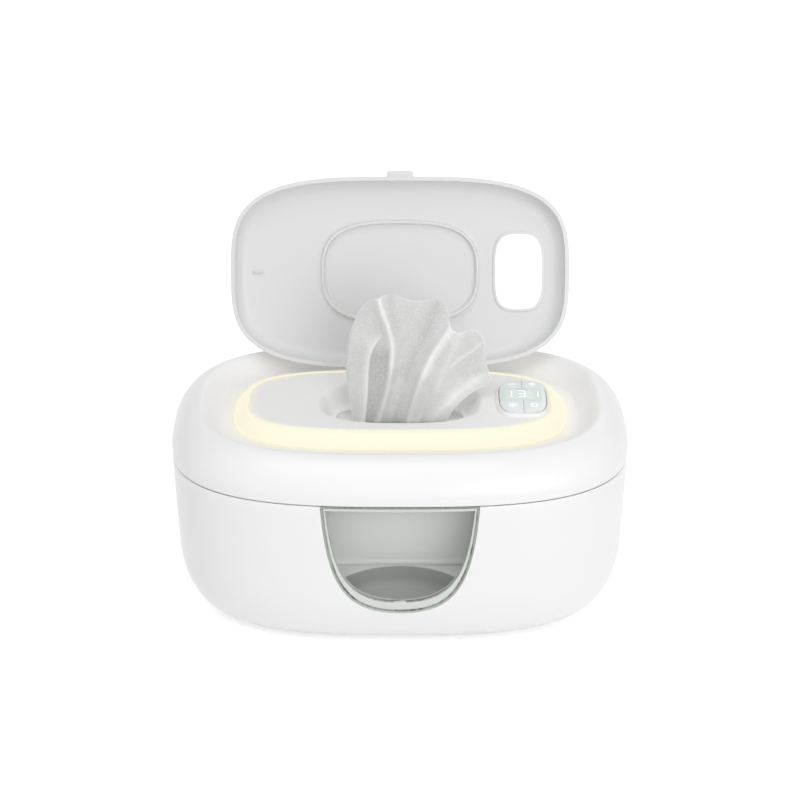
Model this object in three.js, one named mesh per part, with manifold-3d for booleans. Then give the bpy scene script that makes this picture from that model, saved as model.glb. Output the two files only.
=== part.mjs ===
import * as THREE from "three";
import { mergeVertices } from "three/addons/utils/BufferGeometryUtils.js";
import Module from "manifold-3d";

// Baby wipe warmer. Millimetres, +Z up, the front faces -Y and the feet stand on z = 0.
// The lid is drawn closed, and its group turns it open.

const wasm = await Module();
wasm.setup();

// Clearances and steps
const gap = 0.3;
const overrun = 1;
const turn = 2 * Math.PI;
const ringCount = 40;
const facets = {
  slot: 8,
  pin: 12,
  bar: 14,
  hinge: 16,
  hole: 20,
  disc: 24,
  panel: 28,
  sheet: 32,
  seal: 36,
  pocket: 64,
};

// Housing outline and side
const body = {
  width: 240,
  depth: 165,
  round: 2.92,
  wall: 2.5,
  lift: 1.6,
  bottomRise: 38.6,
  bottomDraw: 25.85,
  sideDraw: 2.06,
  sidePower: 1.4,
  widest: 94.4,
  shoulderRise: 17.2,
  shoulderDraw: 14.7,
  shoulderPower: 1.25,
  seam: 89.3,
  seamGap: 0.4,
};
const arcSteps = 5;
const wallSteps = 2;
const straight = body.lift + body.bottomRise;
const crest = body.widest + body.shoulderRise;

// Deck, island and light ring, each drawn in from the one outside it
const rimWidth = { x: 27, y: 29.3 };
const shelfWidth = { x: 7.5, y: 9.9 };
const islandInset = { x: 13, y: 16.95 };
const ringWidth = { x: 7.4, y: 9.05 };
const deckX = body.width / 2 - rimWidth.x;
const deckY = body.depth / 2 - rimWidth.y;
const deck = {
  floor: 102.6,
  wall: 2.2,
  x: deckX,
  y: deckY,
  round: 3.2,
  openingX: deckX - shelfWidth.x,
  openingY: deckY - shelfWidth.y,
};
const dishSteps = 4;
const island = {
  x: deckX - islandInset.x,
  y: deckY - islandInset.y,
  round: 3.2,
  top: 110,
  wall: 2,
  edge: 0.8,
  foot: 99,
};
const lightRing = { x: island.x + ringWidth.x, y: island.y + ringWidth.y, edge: 0.4, wall: 1.9 };
const ringUnderShare = 0.3;
const ringLipShare = 0.16;
const ringRiseShares = [
  [0, 0],
  [0.1, 0.09],
  [0.2, 0.24],
  [0.4, 0.64],
  [0.58, 0.88],
  [0.75, 0.98],
  [1, 1],
];

// Control panel
const panelInset = 15.3;
const panelDepthShare = 0.538;
const bandShare = 0.718;
const panel = {
  at: island.x - panelInset,
  x: 12.3,
  y: island.y * panelDepthShare,
  round: 3.4,
  slit: 0.4,
  surround: 1.9,
  surroundRise: 1.9,
  rise: 3.5,
  crown: 0.5,
  band: island.y * panelDepthShare * bandShare,
  keySlit: 0.35,
  sunk: 1.5,
};
const surroundShares = [
  [0, 0],
  [0.25, 0.55],
  [0.6, 0.9],
];
const keyCrownShares = [
  [0, 2],
  [0.6, 1],
  [4, 0.5],
  [12, 0],
];
const digitShares = { x: 0.85, y: 0.8 };

// Dispensing well and its gate
const wellToPanel = 23.7;
const wellDepthShare = 0.69;
const well = {
  x: panel.at - wellToPanel,
  y: island.y * wellDepthShare,
  round: 2.9,
  back: -1,
  depth: 10,
  draw: 5.6,
  step: 1.4,
};
const wellSteps = 4;
const wellPower = 1.5;
const wellBellyShare = 0.25;
const seatInset = 12;
const seatDepthShare = 0.46;
const gateSeat = { x: well.x - seatInset, y: well.y * seatDepthShare };
const gateLap = { x: 4, y: 3.3 };
const gate = {
  x: gateSeat.x + gateLap.x,
  y: gateSeat.y + gateLap.y,
  thick: 1.4,
  slotWidth: 2 * (gateSeat.x - gateLap.x),
  slotDepth: 5,
};
const stem = { radius: 1.6, length: 1.1 };
const boardInset = { x: 3.3, y: 3 };
const board = { x: panel.x - boardInset.x, y: panel.y - boardInset.y, thick: 1.4, below: 5.6 };
const tact = { width: 4.4, height: 1.1 };

// Lid
const lidPlay = { x: 1.4, y: 1.45 };
const holePlay = { x: 0.5, y: 0.9 };
const lid = {
  x: deck.x - lidPlay.x,
  y: deck.y - lidPlay.y,
  round: 3.4,
  rim: 103.9,
  rise: 11.6,
  wall: 2.2,
  holeX: panel.x + holePlay.x,
  holeY: panel.y + holePlay.y,
  ridge: 1.4,
  ridgeDrop: 0.4,
};
const lidRounding = 9;
const roundingShare = 0.9;
const lidCrownShare = 0.055;
const lidTopShares = [0.4, 0.72];
const lidSteps = 4;
const sealLap = { x: 2, y: 3 };
const seal = {
  x: well.x + sealLap.x,
  y: well.y + sealLap.y,
  round: 2.9,
  width: 2.2,
  under: 0.75,
  tip: 0.6,
};
const sealDraftShare = 0.15;
const moonInset = 14.1;
const halfMoon = { at: moonInset - lid.x, radius: 3.4, drop: 2.8, thick: 1 };
const finger = { width: 14, reach: 3, thick: 2, up: 1 };
const hingeInset = 3;
const lidHinge = { y: lid.y - hingeInset, z: 110.2, openDegrees: 110 };
const lidPin = { radius: 0.75, bore: 1.05, lug: 2, lugWidth: 5, lugAt: 19.5, length: 50, play: 0.42 };
const lidBoss = { width: 52, reach: 2.6, drop: 2.9 };

// Cover hinge at the back
const coverHinge = { out: 3.4, radius: 3, pin: 1.2, bore: 1.5, inner: 40, outer: 16, web: 5.6 };

// Window in the front
const windowTop = { outer: 40.4, inner: 38 };
const windowBottom = { outer: 26, inner: 35.2 };
const windowShares = { waist: 0.93, belly: 0.78, shoulder: 0.64 };
const frame = { recess: 0.3, thick: 1.9, tab: 5, tabRise: 1.6 };
const pane = { thick: 1.4, overlap: 1.5 };
const windowSeal = { thick: 1.5, width: 2.2 };

// Chamber
const tub = {
  flangeInset: 3.1,
  inset: 6.6,
  wall: 1.8,
  draft: 2,
  floor: 40,
  floorRound: 3,
  top: 88,
  flange: 1.5,
  ledge: 2.2,
};
const pocketInset = 29.5;
const pocket = { radius: 39.7, reach: body.depth / 2 - pocketInset, floor: 27 };
const gasket = { width: 3.2, height: 2 };
const gasketTopShare = 0.3;
const liner = { inset: 3, thick: 1.8, rim: 3.6, rimWall: 2, bottom: 90.9 };
const packInset = { x: 26.5, y: 32 };
const pack = {
  x: body.width / 2 - packInset.x,
  y: body.depth / 2 - packInset.y,
  height: 41.5,
  round: 7,
  edge: 6.5,
};
const packLowShares = [
  [1, 0],
  [0.3, 0.4],
  [0, 1.4],
];
const packHighShares = [
  [0, 1.8],
  [0.4, 0.6],
  [1.6, 0.1],
  [4, 0],
];

// Heater under the chamber
const heater = { width: 150, depth: 88, thick: 1.5, back: 7, corner: 6 };
const film = { width: 132, depth: 72, thick: 0.6, corner: 3 };
const pad = { width: 144, depth: 82, thick: 4, corner: 6 };
const cutOff = { radius: 3, length: 12, tabs: 21.6, tabThick: 1 };

// Base plate, feet, screws and electronics
const base = {
  inset: 31.6,
  thick: 2.4,
  sunk: 0.6,
  flangeInset: 42,
  flange: 2.3,
  ventWidth: 3,
  ventLength: 26,
  ventPitch: 8,
  ventCount: 7,
};
const foot = { radius: 8, height: 2.9, seat: 1, cornerShare: 0.5, drawn: 20 };
const screw = { head: 3, headHeight: 1, radius: 1.5, length: 12, play: 0.35, sides: 10 };
const boss = { radius: 3.6, baseTop: 17, baseDraw: 5.2, angleShare: 0.42 };
const power = { width: 86, depth: 46, thick: 1.6, z: 12, back: 26 };
const inlet = { radius: 4.4, length: 13, bore: 2.8, boreDepth: 9, pin: 1, z: 24, play: 0.3 };
const strip = { thick: 1.2, z: 98, width: 4.2, led: 2, ledHeight: 0.8, count: 12 };

// Wipe that stands in the gate. Its far edge goes across in shares of baseX and up in shares of rise.
const slotPlay = 2.2;
const wipe = {
  baseX: gate.slotWidth / 2 - slotPlay,
  rise: 71.2,
  thick: 1.2,
  tail: 8,
  lean: 5,
  fold: 4,
  spreadPower: 2.4,
};
const wipeEdgeShares = [
  -1.21, -1.11, -0.88, -0.47, -0.08, 0.24, 0.61, 0.97, 1.13, 1.22, 1.41, 1.71, 1.94, 1.99, 2.1,
];
const wipeRiseShares = [
  0.45, 0.7, 0.91, 0.99, 1, 0.96, 0.95, 0.94, 0.87, 0.73, 0.71, 0.73, 0.65, 0.47, 0.32,
];
const wipeRidgeShares = [0.12, 0.28, 0.45, 0.63, 0.74, 0.9];
const wipeAcross = 26;
const wipeUp = 6;

// Everything is drawn about the housing's middle. This puts the middle of the whole in the origin.
const shift = -coverHinge.out / 2 - coverHinge.radius / 2;

// Materials
const plastic = (color, roughness = 0.35) =>
  new THREE.MeshStandardMaterial({ color, roughness, metalness: 0 });
const metal = (color, roughness = 0.4) =>
  new THREE.MeshStandardMaterial({ color, roughness, metalness: 1 });
const white = plastic(0xf7f8f9, 0.3);
const warmWhite = plastic(0xe9e8e6, 0.4);
const lidWhite = plastic(0xe8e7e5, 0.35);
const glow = new THREE.MeshStandardMaterial({
  color: 0xfffbe0,
  roughness: 0.5,
  metalness: 0,
  emissive: 0xfff3c0,
  emissiveIntensity: 0.6,
});
const keyWhite = plastic(0xdfe5e8, 0.35);
const displayGreen = plastic(0xd9e8e0, 0.25);
const silicone = plastic(0xd8d9d6, 0.6);
const smoke = plastic(0xb7beb9, 0.2);
const clear = new THREE.MeshStandardMaterial({
  color: 0xdfe6e2,
  roughness: 0.05,
  metalness: 0,
  transparent: true,
  opacity: 0.35,
});
const tubGrey = plastic(0xb9bdb8, 0.5);
const packFilm = plastic(0xe9ecea, 0.45);
const cloth = plastic(0xf2f2f0, 0.95);
const aluminium = metal(0xc9ccd0, 0.4);
const steel = metal(0xb8bbc0, 0.35);
const boardGreen = plastic(0x2f6b45, 0.5);
const rubber = plastic(0x55575a, 0.85);
const black = plastic(0x2a2b2d, 0.6);
const amber = plastic(0xb9762a, 0.5);
const felt = plastic(0xd7d2c4, 0.95);

// Solids
function solid(geometry) {
  const plain = geometry.clone();
  plain.deleteAttribute("normal");
  plain.deleteAttribute("uv");
  const merged = mergeVertices(plain, 1e-4);
  return new wasm.Manifold(
    new wasm.Mesh({
      numProp: 3,
      vertProperties: new Float32Array(merged.attributes.position.array),
      triVerts: new Uint32Array(merged.index.array),
    }),
  );
}

function geometryOf(shape) {
  const mesh = shape.getMesh();
  const geometry = new THREE.BufferGeometry();
  geometry.setAttribute("position", new THREE.BufferAttribute(mesh.vertProperties, 3));
  geometry.setIndex(new THREE.BufferAttribute(mesh.triVerts, 1));
  geometry.computeVertexNormals();
  return geometry;
}

function join(first, ...others) {
  return others.reduce((sum, next) => sum.add(next), first);
}

function cut(first, ...others) {
  return others.reduce((rest, next) => rest.subtract(next), first);
}

// A skin over rings of equal point count. Looped, it closes on itself, else both ends are filled.
function loft(rings, looped = false) {
  const count = rings[0].length;
  const points = rings.flat();
  const faces = [];
  const bands = looped ? rings.length : rings.length - 1;
  for (let k = 0; k < bands; k++) {
    const low = k * count;
    const high = ((k + 1) % rings.length) * count;
    for (let i = 0; i < count; i++) {
      const j = (i + 1) % count;
      faces.push(low + i, low + j, high + j, low + i, high + j, high + i);
    }
  }
  if (!looped) {
    const ends = [0, (rings.length - 1) * count];
    ends.forEach((start, end) => {
      const ring = points.slice(start, start + count);
      const middle = ring.reduce((sum, p) => sum.add(p), new THREE.Vector3()).divideScalar(count);
      points.push(middle);
      for (let i = 0; i < count; i++) {
        const j = (i + 1) % count;
        const edge = end ? [start + i, start + j] : [start + j, start + i];
        faces.push(...edge, points.length - 1);
      }
    });
  }
  let volume = 0;
  const side = new THREE.Vector3();
  for (let f = 0; f < faces.length; f += 3) {
    const [a, b, c] = [points[faces[f]], points[faces[f + 1]], points[faces[f + 2]]];
    volume += side.crossVectors(b, c).dot(a);
  }
  if (volume < 0) faces.reverse();
  const geometry = new THREE.BufferGeometry().setFromPoints(points);
  geometry.setIndex(faces);
  return solid(geometry);
}

// A superellipse ring: half sizes x and y, roundness, height z, and its centre back and across
function outline(ring, count = ringCount) {
  const points = [];
  const power = 2 / ring.round;
  for (let i = 0; i < count; i++) {
    const c = Math.cos((i / count) * turn);
    const s = Math.sin((i / count) * turn);
    const x = Math.sign(c) * Math.abs(c) ** power * ring.x + (ring.across ?? 0);
    const y = Math.sign(s) * Math.abs(s) ** power * ring.y + (ring.back ?? 0);
    points.push(new THREE.Vector3(x, y, ring.z));
  }
  return points;
}

const ringed = (rings, looped, count) => loft(rings.map((r) => outline(r, count)), looped);

function between(a, b, share) {
  const mixed = {};
  for (const key of ["x", "y", "z", "round", "back", "across"]) {
    mixed[key] = (a[key] ?? 0) * (1 - share) + (b[key] ?? 0) * share;
  }
  return mixed;
}

// The rings of the other face of a wall: each one moved square to the path, to the path's left.
function inward(rings, wall) {
  return rings.map((ring, i) => {
    const before = rings[Math.max(i - 1, 0)];
    const after = rings[Math.min(i + 1, rings.length - 1)];
    const run = new THREE.Vector2(after.x - before.x, after.z - before.z).normalize();
    return { ...ring, x: ring.x - run.y * wall, y: ring.y - run.y * wall, z: ring.z + run.x * wall };
  });
}

function inset(amount, z) {
  return { x: body.width / 2 - amount, y: body.depth / 2 - amount, round: body.round, z };
}

function prism(shape, height, z, curveSegments = facets.pin) {
  const settings = { depth: height, bevelEnabled: false, curveSegments };
  const geometry = new THREE.ExtrudeGeometry(shape, settings);
  geometry.translate(0, 0, z);
  return solid(geometry);
}

// A flat outline drawn in x and z, pushed along y from the given place.
function frontPrism(shape, depth, y, curveSegments = facets.bar) {
  const geometry = new THREE.ExtrudeGeometry(shape, { depth, bevelEnabled: false, curveSegments });
  geometry.rotateX(Math.PI / 2);
  geometry.translate(0, y + depth, 0);
  return solid(geometry);
}

// A flat outline drawn in y and z, pushed along x about the given place.
function sidePrism(points, width, x) {
  const shape = new THREE.Shape(points.map(([y, z]) => new THREE.Vector2(y, z)));
  const geometry = new THREE.ExtrudeGeometry(shape, { depth: width, bevelEnabled: false });
  geometry.rotateZ(Math.PI / 2);
  geometry.rotateY(Math.PI / 2);
  geometry.translate(x - width / 2, 0, 0);
  return solid(geometry);
}

function block(width, depth, height, x, y, z) {
  const geometry = new THREE.BoxGeometry(width, depth, height);
  geometry.translate(x, y, z + height / 2);
  return solid(geometry);
}

// A round bar standing on z, or lying along X or Y about its place.
function bar(radius, length, x, y, z, along = "z", sides = facets.bar) {
  const geometry = new THREE.CylinderGeometry(radius, radius, length, sides);
  if (along === "z") {
    geometry.rotateX(Math.PI / 2);
    geometry.translate(x, y, z + length / 2);
  } else {
    if (along === "x") geometry.rotateZ(Math.PI / 2);
    geometry.translate(x, y, z);
  }
  return solid(geometry);
}

// Side of the housing, as rings from the bottom edge up
function lowerSide() {
  const rings = [];
  for (let i = 0; i <= arcSteps; i++) {
    const angle = (i / arcSteps) * (turn / 4);
    const draw = body.sideDraw + body.bottomDraw * (1 - Math.sin(angle));
    rings.push(inset(draw, body.lift + body.bottomRise * (1 - Math.cos(angle))));
  }
  const top = body.seam - body.seamGap / 2;
  for (let i = 1; i <= wallSteps; i++) {
    const z = straight + ((top - straight) * i) / wallSteps;
    rings.push(inset(taper(z), z));
  }
  return rings;
}

function taper(z) {
  return body.sideDraw * ((body.widest - z) / (body.widest - straight)) ** body.sidePower;
}

function upperSide() {
  const bottom = body.seam + body.seamGap / 2;
  const rings = [inset(taper(bottom), bottom)];
  for (let i = 0; i <= arcSteps; i++) {
    const angle = (i / arcSteps) * (turn / 4);
    const draw = body.shoulderDraw * (1 - Math.cos(angle) ** body.shoulderPower);
    rings.push(inset(draw, body.widest + body.shoulderRise * Math.sin(angle) ** body.shoulderPower));
  }
  return rings;
}

// The dish from the crest down to the deck's floor, eased at both ends
function dish(top) {
  const low = { x: deck.x, y: deck.y, round: deck.round, z: deck.floor };
  const rings = [];
  for (let i = 1; i <= dishSteps; i++) {
    const share = i / dishSteps;
    const eased = share * share * (3 - 2 * share);
    rings.push({ ...between(top, low, share), z: top.z + (low.z - top.z) * eased });
  }
  return rings;
}

function cornerPoint(ring, angleShare, xSide, ySide) {
  const angle = angleShare * (turn / 4);
  const power = 2 / ring.round;
  return {
    x: xSide * ring.x * Math.cos(angle) ** power,
    y: ySide * ring.y * Math.sin(angle) ** power,
  };
}

const corners = [
  ["front_left", -1, -1],
  ["front_right", 1, -1],
  ["back_left", -1, 1],
  ["back_right", 1, 1],
];

// Window outlines, drawn in x and z from the seam down
function windowShape(halfWidth, bottom, grow = 0) {
  const top = body.seam + overrun;
  const low = bottom - grow;
  const half = halfWidth + grow;
  const drop = top - low;
  const shape = new THREE.Shape();
  shape.moveTo(-half, top);
  shape.bezierCurveTo(
    -half * windowShares.waist,
    top - drop * windowShares.shoulder,
    -half * windowShares.belly,
    low,
    0,
    low,
  );
  shape.bezierCurveTo(
    half * windowShares.belly,
    low,
    half * windowShares.waist,
    top - drop * windowShares.shoulder,
    half,
    top,
  );
  shape.closePath();
  return shape;
}

const windowReach = overrun + 2 * (body.wall + tub.wall) + tub.inset + tub.draft;
function windowCut(halfWidth, bottom, grow = 0) {
  const shape = windowShape(halfWidth, bottom, grow);
  return frontPrism(shape, windowReach, -body.depth / 2 - overrun);
}
const windowOuter = (grow) => windowCut(windowTop.outer, windowBottom.outer, grow);
const windowInner = (grow) => windowCut(windowTop.inner, windowBottom.inner, grow);

// The space between two depths under the housing's outside, below the seam
function skin(outer, thick) {
  const side = lowerSide();
  return cut(ringed(inward(side, outer)), ringed(inward(side, outer + thick)));
}

// Places that several pieces share
const baseTop = body.lift + base.sunk + base.thick;
const flangeBottom = baseTop + gap;
const flangeTop = flangeBottom + base.flange;
const hingeY = body.depth / 2 + coverHinge.out;
const gateTop = island.top - well.depth - well.step - gap;
const chuteTop = gateTop - gate.thick - gap;
const baseBossRing = { ...inset(base.inset + boss.baseDraw, 0) };
const coverBossRing = { ...between(upperSide().at(-1), { ...deck, z: 0 }, 0.5) };
const keyBottom = island.top - panel.sunk;
const boardTop = island.top - board.below;
const chuteOuter = { x: gate.x, y: gate.y };

// Lower housing
function lowerShell() {
  const outer = lowerSide();
  const top = outer.at(-1).z;
  const inner = inward(outer, body.wall).filter((r) => r.z > flangeTop + body.wall);
  inner.at(-1).z = top;
  const ledgeTop = tub.top - tub.flange - gap;
  const bare = inner.filter((r) => r.z < ledgeTop - tub.inset);
  const ledge = [
    inset(body.wall, top),
    inset(body.wall, ledgeTop),
    inset(tub.inset - gap * 2, ledgeTop),
    inset(tub.inset - gap * 2, ledgeTop - tub.ledge),
    inset(body.wall + gap, ledgeTop - tub.inset),
  ];
  const flange = [
    inset(base.flangeInset, flangeTop),
    inset(base.flangeInset, flangeBottom),
    inset(base.inset, flangeBottom),
    inset(base.inset, body.lift),
  ];
  let shell = ringed([...outer, ...ledge, ...bare.reverse(), ...flange], true);

  for (const [, xSide, ySide] of corners) {
    const p = cornerPoint(baseBossRing, boss.angleShare, xSide, ySide);
    const post = bar(boss.radius, boss.baseTop - flangeTop + overrun, p.x, p.y, flangeTop - overrun);
    shell = join(shell, post);
    shell = cut(shell, bar(screw.radius + screw.play, boss.baseTop, p.x, p.y, body.lift));
  }

  const rear = body.depth / 2;
  for (const side of [-1, 1]) {
    const middle = (side * (coverHinge.inner + coverHinge.outer)) / 2;
    const width = coverHinge.inner - coverHinge.outer;
    const web = [
      [hingeY + coverHinge.radius, body.seam],
      [hingeY, body.seam - coverHinge.radius],
      [rear - body.wall, body.seam - coverHinge.radius - coverHinge.web],
      [rear - body.wall, body.seam - body.seamGap / 2],
      [hingeY, body.seam - body.seamGap / 2],
    ];
    shell = join(
      shell,
      bar(coverHinge.radius, width, middle, hingeY, body.seam, "x", facets.hinge),
      sidePrism(web, width, middle),
    );
  }
  const bore = 2 * coverHinge.inner + overrun;
  shell = cut(shell, bar(coverHinge.bore, bore, 0, hingeY, body.seam, "x", facets.hinge));
  shell = cut(shell, windowOuter(0));
  return cut(shell, bar(inlet.radius + inlet.play, body.depth / 2, 0, rear, inlet.z, "y", facets.hole));
}

// Upper housing, the cover that opens
function upperShell() {
  const side = upperSide();
  const down = dish(side.at(-1));
  const edge = { x: deck.openingX, y: deck.openingY, round: deck.round, z: deck.floor };
  const outer = [...side, ...down, edge];
  const inner = inward(outer, deck.wall);
  inner[0].z = outer[0].z;
  inner.at(-1).x = edge.x;
  inner.at(-1).y = edge.y;
  let shell = ringed([...outer, ...inner.reverse()], true);

  for (const [, xSide, ySide] of corners) {
    const p = cornerPoint(coverBossRing, boss.angleShare, xSide, ySide);
    const low = liner.bottom + liner.thick + gap;
    const post = bar(boss.radius, deck.floor + overrun - low, p.x, p.y, low);
    const hole = bar(screw.radius + screw.play, screw.length, p.x, p.y, low - overrun);
    shell = join(shell, cut(post, hole));
  }

  // Lugs of the lid's hinge
  for (const xSide of [-1, 1]) {
    const x = xSide * lidPin.lugAt;
    const foot = [
      [lidHinge.y - lidPin.lug, deck.floor - overrun],
      [lidHinge.y + lidPin.lug, deck.floor - overrun],
      [lidHinge.y + lidPin.lug, lidHinge.z],
      [lidHinge.y - lidPin.lug, lidHinge.z],
    ];
    shell = join(
      shell,
      sidePrism(foot, lidPin.lugWidth, x),
      bar(lidPin.lug, lidPin.lugWidth, x, lidHinge.y, lidHinge.z, "x"),
    );
  }
  const pinHole = bar(lidPin.bore, lidPin.length, 0, lidHinge.y, lidHinge.z, "x", facets.hinge);
  shell = cut(shell, pinHole);

  // Knuckle of the cover's hinge
  const width = 2 * coverHinge.outer - 2 * gap;
  const seamUp = body.seam + body.seamGap / 2;
  const rear = body.depth / 2;
  const web = [
    [hingeY + coverHinge.radius, body.seam],
    [hingeY, seamUp],
    [rear - body.wall, seamUp],
    [rear - body.wall, body.seam + coverHinge.radius + coverHinge.web],
    [hingeY, body.seam + coverHinge.radius],
  ];
  const knuckle = bar(coverHinge.radius, width, 0, hingeY, body.seam, "x", facets.hinge);
  shell = join(shell, knuckle, sidePrism(web, width, 0));
  return cut(shell, bar(coverHinge.bore, width + overrun, 0, hingeY, body.seam, "x", facets.hinge));
}

// The raised platform with the dispensing well, a moulding of its own
function platform() {
  const side = { x: island.x - gap, y: island.y - gap, round: island.round };
  const top = { ...side, x: side.x - island.edge, y: side.y - island.edge };
  const skirt = { ...side, x: side.x - island.wall, y: side.y - island.wall };
  const under = island.top - island.wall;
  const mouth = { x: well.x, y: well.y, round: well.round, back: well.back };
  const wellRings = [];
  for (let i = 0; i <= wellSteps; i++) {
    const angle = (i / wellSteps) * (turn / 4);
    const belly = Math.sin(angle) ** 2 * wellBellyShare;
    const draw = well.draw * (1 - Math.cos(angle) + belly);
    wellRings.push({
      ...mouth,
      x: well.x - draw,
      y: well.y - draw,
      z: island.top - well.depth * Math.sin(angle) ** wellPower,
    });
  }
  const floorZ = island.top - well.depth;
  const seat = { ...gateSeat, round: well.round, back: well.back };
  const outerWell = wellRings
    .map((r) => ({ ...r, x: r.x + island.wall, y: r.y + island.wall, z: r.z - well.step }))
    .filter((r) => r.z < under - gap);
  const rings = [
    { ...side, z: island.foot },
    { ...side, z: island.top - island.edge },
    { ...top, z: island.top },
    ...wellRings,
    { ...seat, z: floorZ },
    { ...seat, z: floorZ - well.step },
    ...outerWell.reverse(),
    { ...mouth, x: outerWell.at(-1).x + island.wall, y: outerWell.at(-1).y + gap, z: under },
    { ...skirt, z: under },
    { ...skirt, z: island.foot },
  ];
  const shape = ringed(rings, true);
  const hole = [panelRing(panel.slit, under - overrun), panelRing(panel.slit, island.top + overrun)];
  return cut(shape, ringed(hole, false, facets.panel));
}

function ringMoulding() {
  const low = deck.floor + gap;
  const rise = island.top - low - lightRing.edge;
  const outer = { x: lightRing.x, y: lightRing.y, round: island.round, z: low };
  const inner = { x: island.x, y: island.y, round: island.round, z: island.top };
  const top = ringRiseShares.map(([share, up]) => ({
    ...between(outer, inner, share),
    z: low + lightRing.edge + rise * up,
  }));
  const under = top
    .filter((ring, i) => ringRiseShares[i][0] > ringUnderShare)
    .map((ring) => ({ ...ring, z: ring.z - lightRing.wall }));
  const lip = { ...between(outer, inner, ringLipShare), z: low };
  return ringed([outer, ...top, ...under.reverse(), lip], true);
}

function ledStrip() {
  const edge = { x: deck.openingX - gap * 2, y: deck.openingY - gap * 2, round: deck.round };
  const inside = { x: edge.x - strip.width, y: edge.y - strip.width, round: deck.round };
  const top = strip.z + strip.thick;
  let shape = ringed(
    [
      { ...edge, z: strip.z },
      { ...edge, z: top },
      { ...inside, z: top },
      { ...inside, z: strip.z },
    ],
    true,
    facets.sheet,
  );
  const middle = outline({ ...between(edge, inside, 0.5), round: deck.round, z: top }, strip.count);
  for (const p of middle) {
    shape = join(shape, block(strip.led, strip.led, strip.ledHeight + gap, p.x, p.y, top - gap));
  }
  return shape;
}

function coverLiner() {
  const top = liner.bottom + liner.thick;
  const rim = top + liner.rim;
  const chute = { round: well.round, back: well.back };
  const outer = { ...chute, ...chuteOuter };
  const inner = { ...chute, ...gateSeat };
  let shape = ringed(
    [
      inset(liner.inset, liner.bottom),
      inset(liner.inset, rim),
      inset(liner.inset + liner.rimWall, rim),
      inset(liner.inset + liner.rimWall, top),
      { ...outer, z: top },
      { ...outer, z: chuteTop },
      { ...inner, z: chuteTop },
      { ...inner, z: liner.bottom },
    ],
    true,
  );
  for (const [, xSide, ySide] of corners) {
    const p = cornerPoint(coverBossRing, boss.angleShare, xSide, ySide);
    const height = liner.thick + 2 * overrun;
    shape = cut(shape, bar(screw.radius + screw.play, height, p.x, p.y, liner.bottom - overrun));
  }
  return shape;
}

function gateSheet() {
  const edge = { x: gate.x, y: gate.y, round: well.round, back: well.back };
  const faces = [{ ...edge, z: gateTop - gate.thick }, { ...edge, z: gateTop }];
  const sheet = ringed(faces, false, facets.sheet);
  const half = gate.slotWidth / 2 - gate.slotDepth / 2;
  const slot = new THREE.Shape();
  slot.absarc(half, well.back, gate.slotDepth / 2, -turn / 4, turn / 4);
  slot.absarc(-half, well.back, gate.slotDepth / 2, turn / 4, -turn / 4 - turn);
  return cut(sheet, prism(slot, gate.thick + 2 * overrun, gateTop - gate.thick - overrun, facets.slot));
}

// Control panel
function panelRing(grow, z) {
  return { x: panel.x + grow, y: panel.y + grow, round: panel.round, across: panel.at, z };
}

function surround() {
  const low = island.top + gap;
  const wide = panel.slit + panel.surround;
  const top = island.top + panel.surroundRise;
  const slope = surroundShares.map(([inwards, up]) =>
    panelRing(wide - panel.surround * inwards, low + (top - low) * up),
  );
  const inside = [
    panelRing(panel.slit + gap, top),
    panelRing(panel.slit, top - gap),
    panelRing(panel.slit, low),
  ];
  return ringed([...slope, ...inside], true, facets.panel);
}

// The crowned insert that the keys and the display band are cut from
function insert() {
  const top = island.top + panel.rise;
  const crown = keyCrownShares.map(([inwards, down]) =>
    panelRing(-panel.crown * inwards, top - panel.crown * down),
  );
  return ringed([panelRing(0, keyBottom), ...crown], false, facets.sheet);
}

function insertPart(width, depth, x, y) {
  const height = panel.rise + panel.sunk + 2 * overrun;
  return insert().intersect(block(width, depth, height, x, y, keyBottom - overrun));
}

function keyAt(xSide, ySide) {
  const inner = panel.keySlit / 2;
  const front = panel.band / 2 + panel.keySlit;
  const x = panel.at + xSide * (inner + panel.x / 2 + overrun);
  const y = ySide * (front + panel.y / 2 + overrun);
  const cap = insertPart(panel.x + 2 * overrun, panel.y + 2 * overrun, x, y);
  const stemX = panel.at + (xSide * panel.x) / 2;
  const stemY = (ySide * (panel.y + panel.band / 2)) / 2;
  const low = keyBottom - stem.length;
  return join(cap, bar(stem.radius, stem.length + gap, stemX, stemY, low, "z", facets.pin));
}

const displayBand = () => insertPart(2 * (panel.x + overrun), panel.band, panel.at, 0);

function controlBoard() {
  let shape = block(2 * board.x, 2 * board.y, board.thick, panel.at, 0, boardTop - board.thick);
  for (const [, xSide, ySide] of corners) {
    const x = panel.at + (xSide * panel.x) / 2;
    const y = (ySide * (panel.y + panel.band / 2)) / 2;
    shape = join(shape, block(tact.width, tact.width, tact.height + gap, x, y, boardTop - gap));
  }
  const width = 2 * board.x * digitShares.x;
  const depth = panel.band * digitShares.y;
  return join(shape, block(width, depth, keyBottom - boardTop, panel.at, 0, boardTop - gap));
}

// Lid, drawn closed
function lidOutside(inwards = 0) {
  const rings = [];
  const top = lid.rim + lid.rise;
  const crown = lid.rise * lidCrownShare;
  const low = top - crown - lidRounding;
  const ring = (draw, z) => ({ x: lid.x - draw, y: lid.y - draw, round: lid.round, z });
  rings.push(ring(0, lid.rim));
  rings.push(ring(gap, low + gap));
  for (let i = 1; i <= lidSteps; i++) {
    const angle = (i / lidSteps) * (turn / 4);
    const draw = lidRounding * (1 - Math.cos(angle)) * roundingShare;
    rings.push(ring(gap + draw, low + lidRounding * Math.sin(angle)));
  }
  for (const share of lidTopShares) {
    const draw = gap + lidRounding + (lid.y - lidRounding) * share;
    rings.push(ring(draw, top - crown * (1 - share) ** 2));
  }
  return inwards ? inward(rings, inwards) : rings;
}

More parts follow.
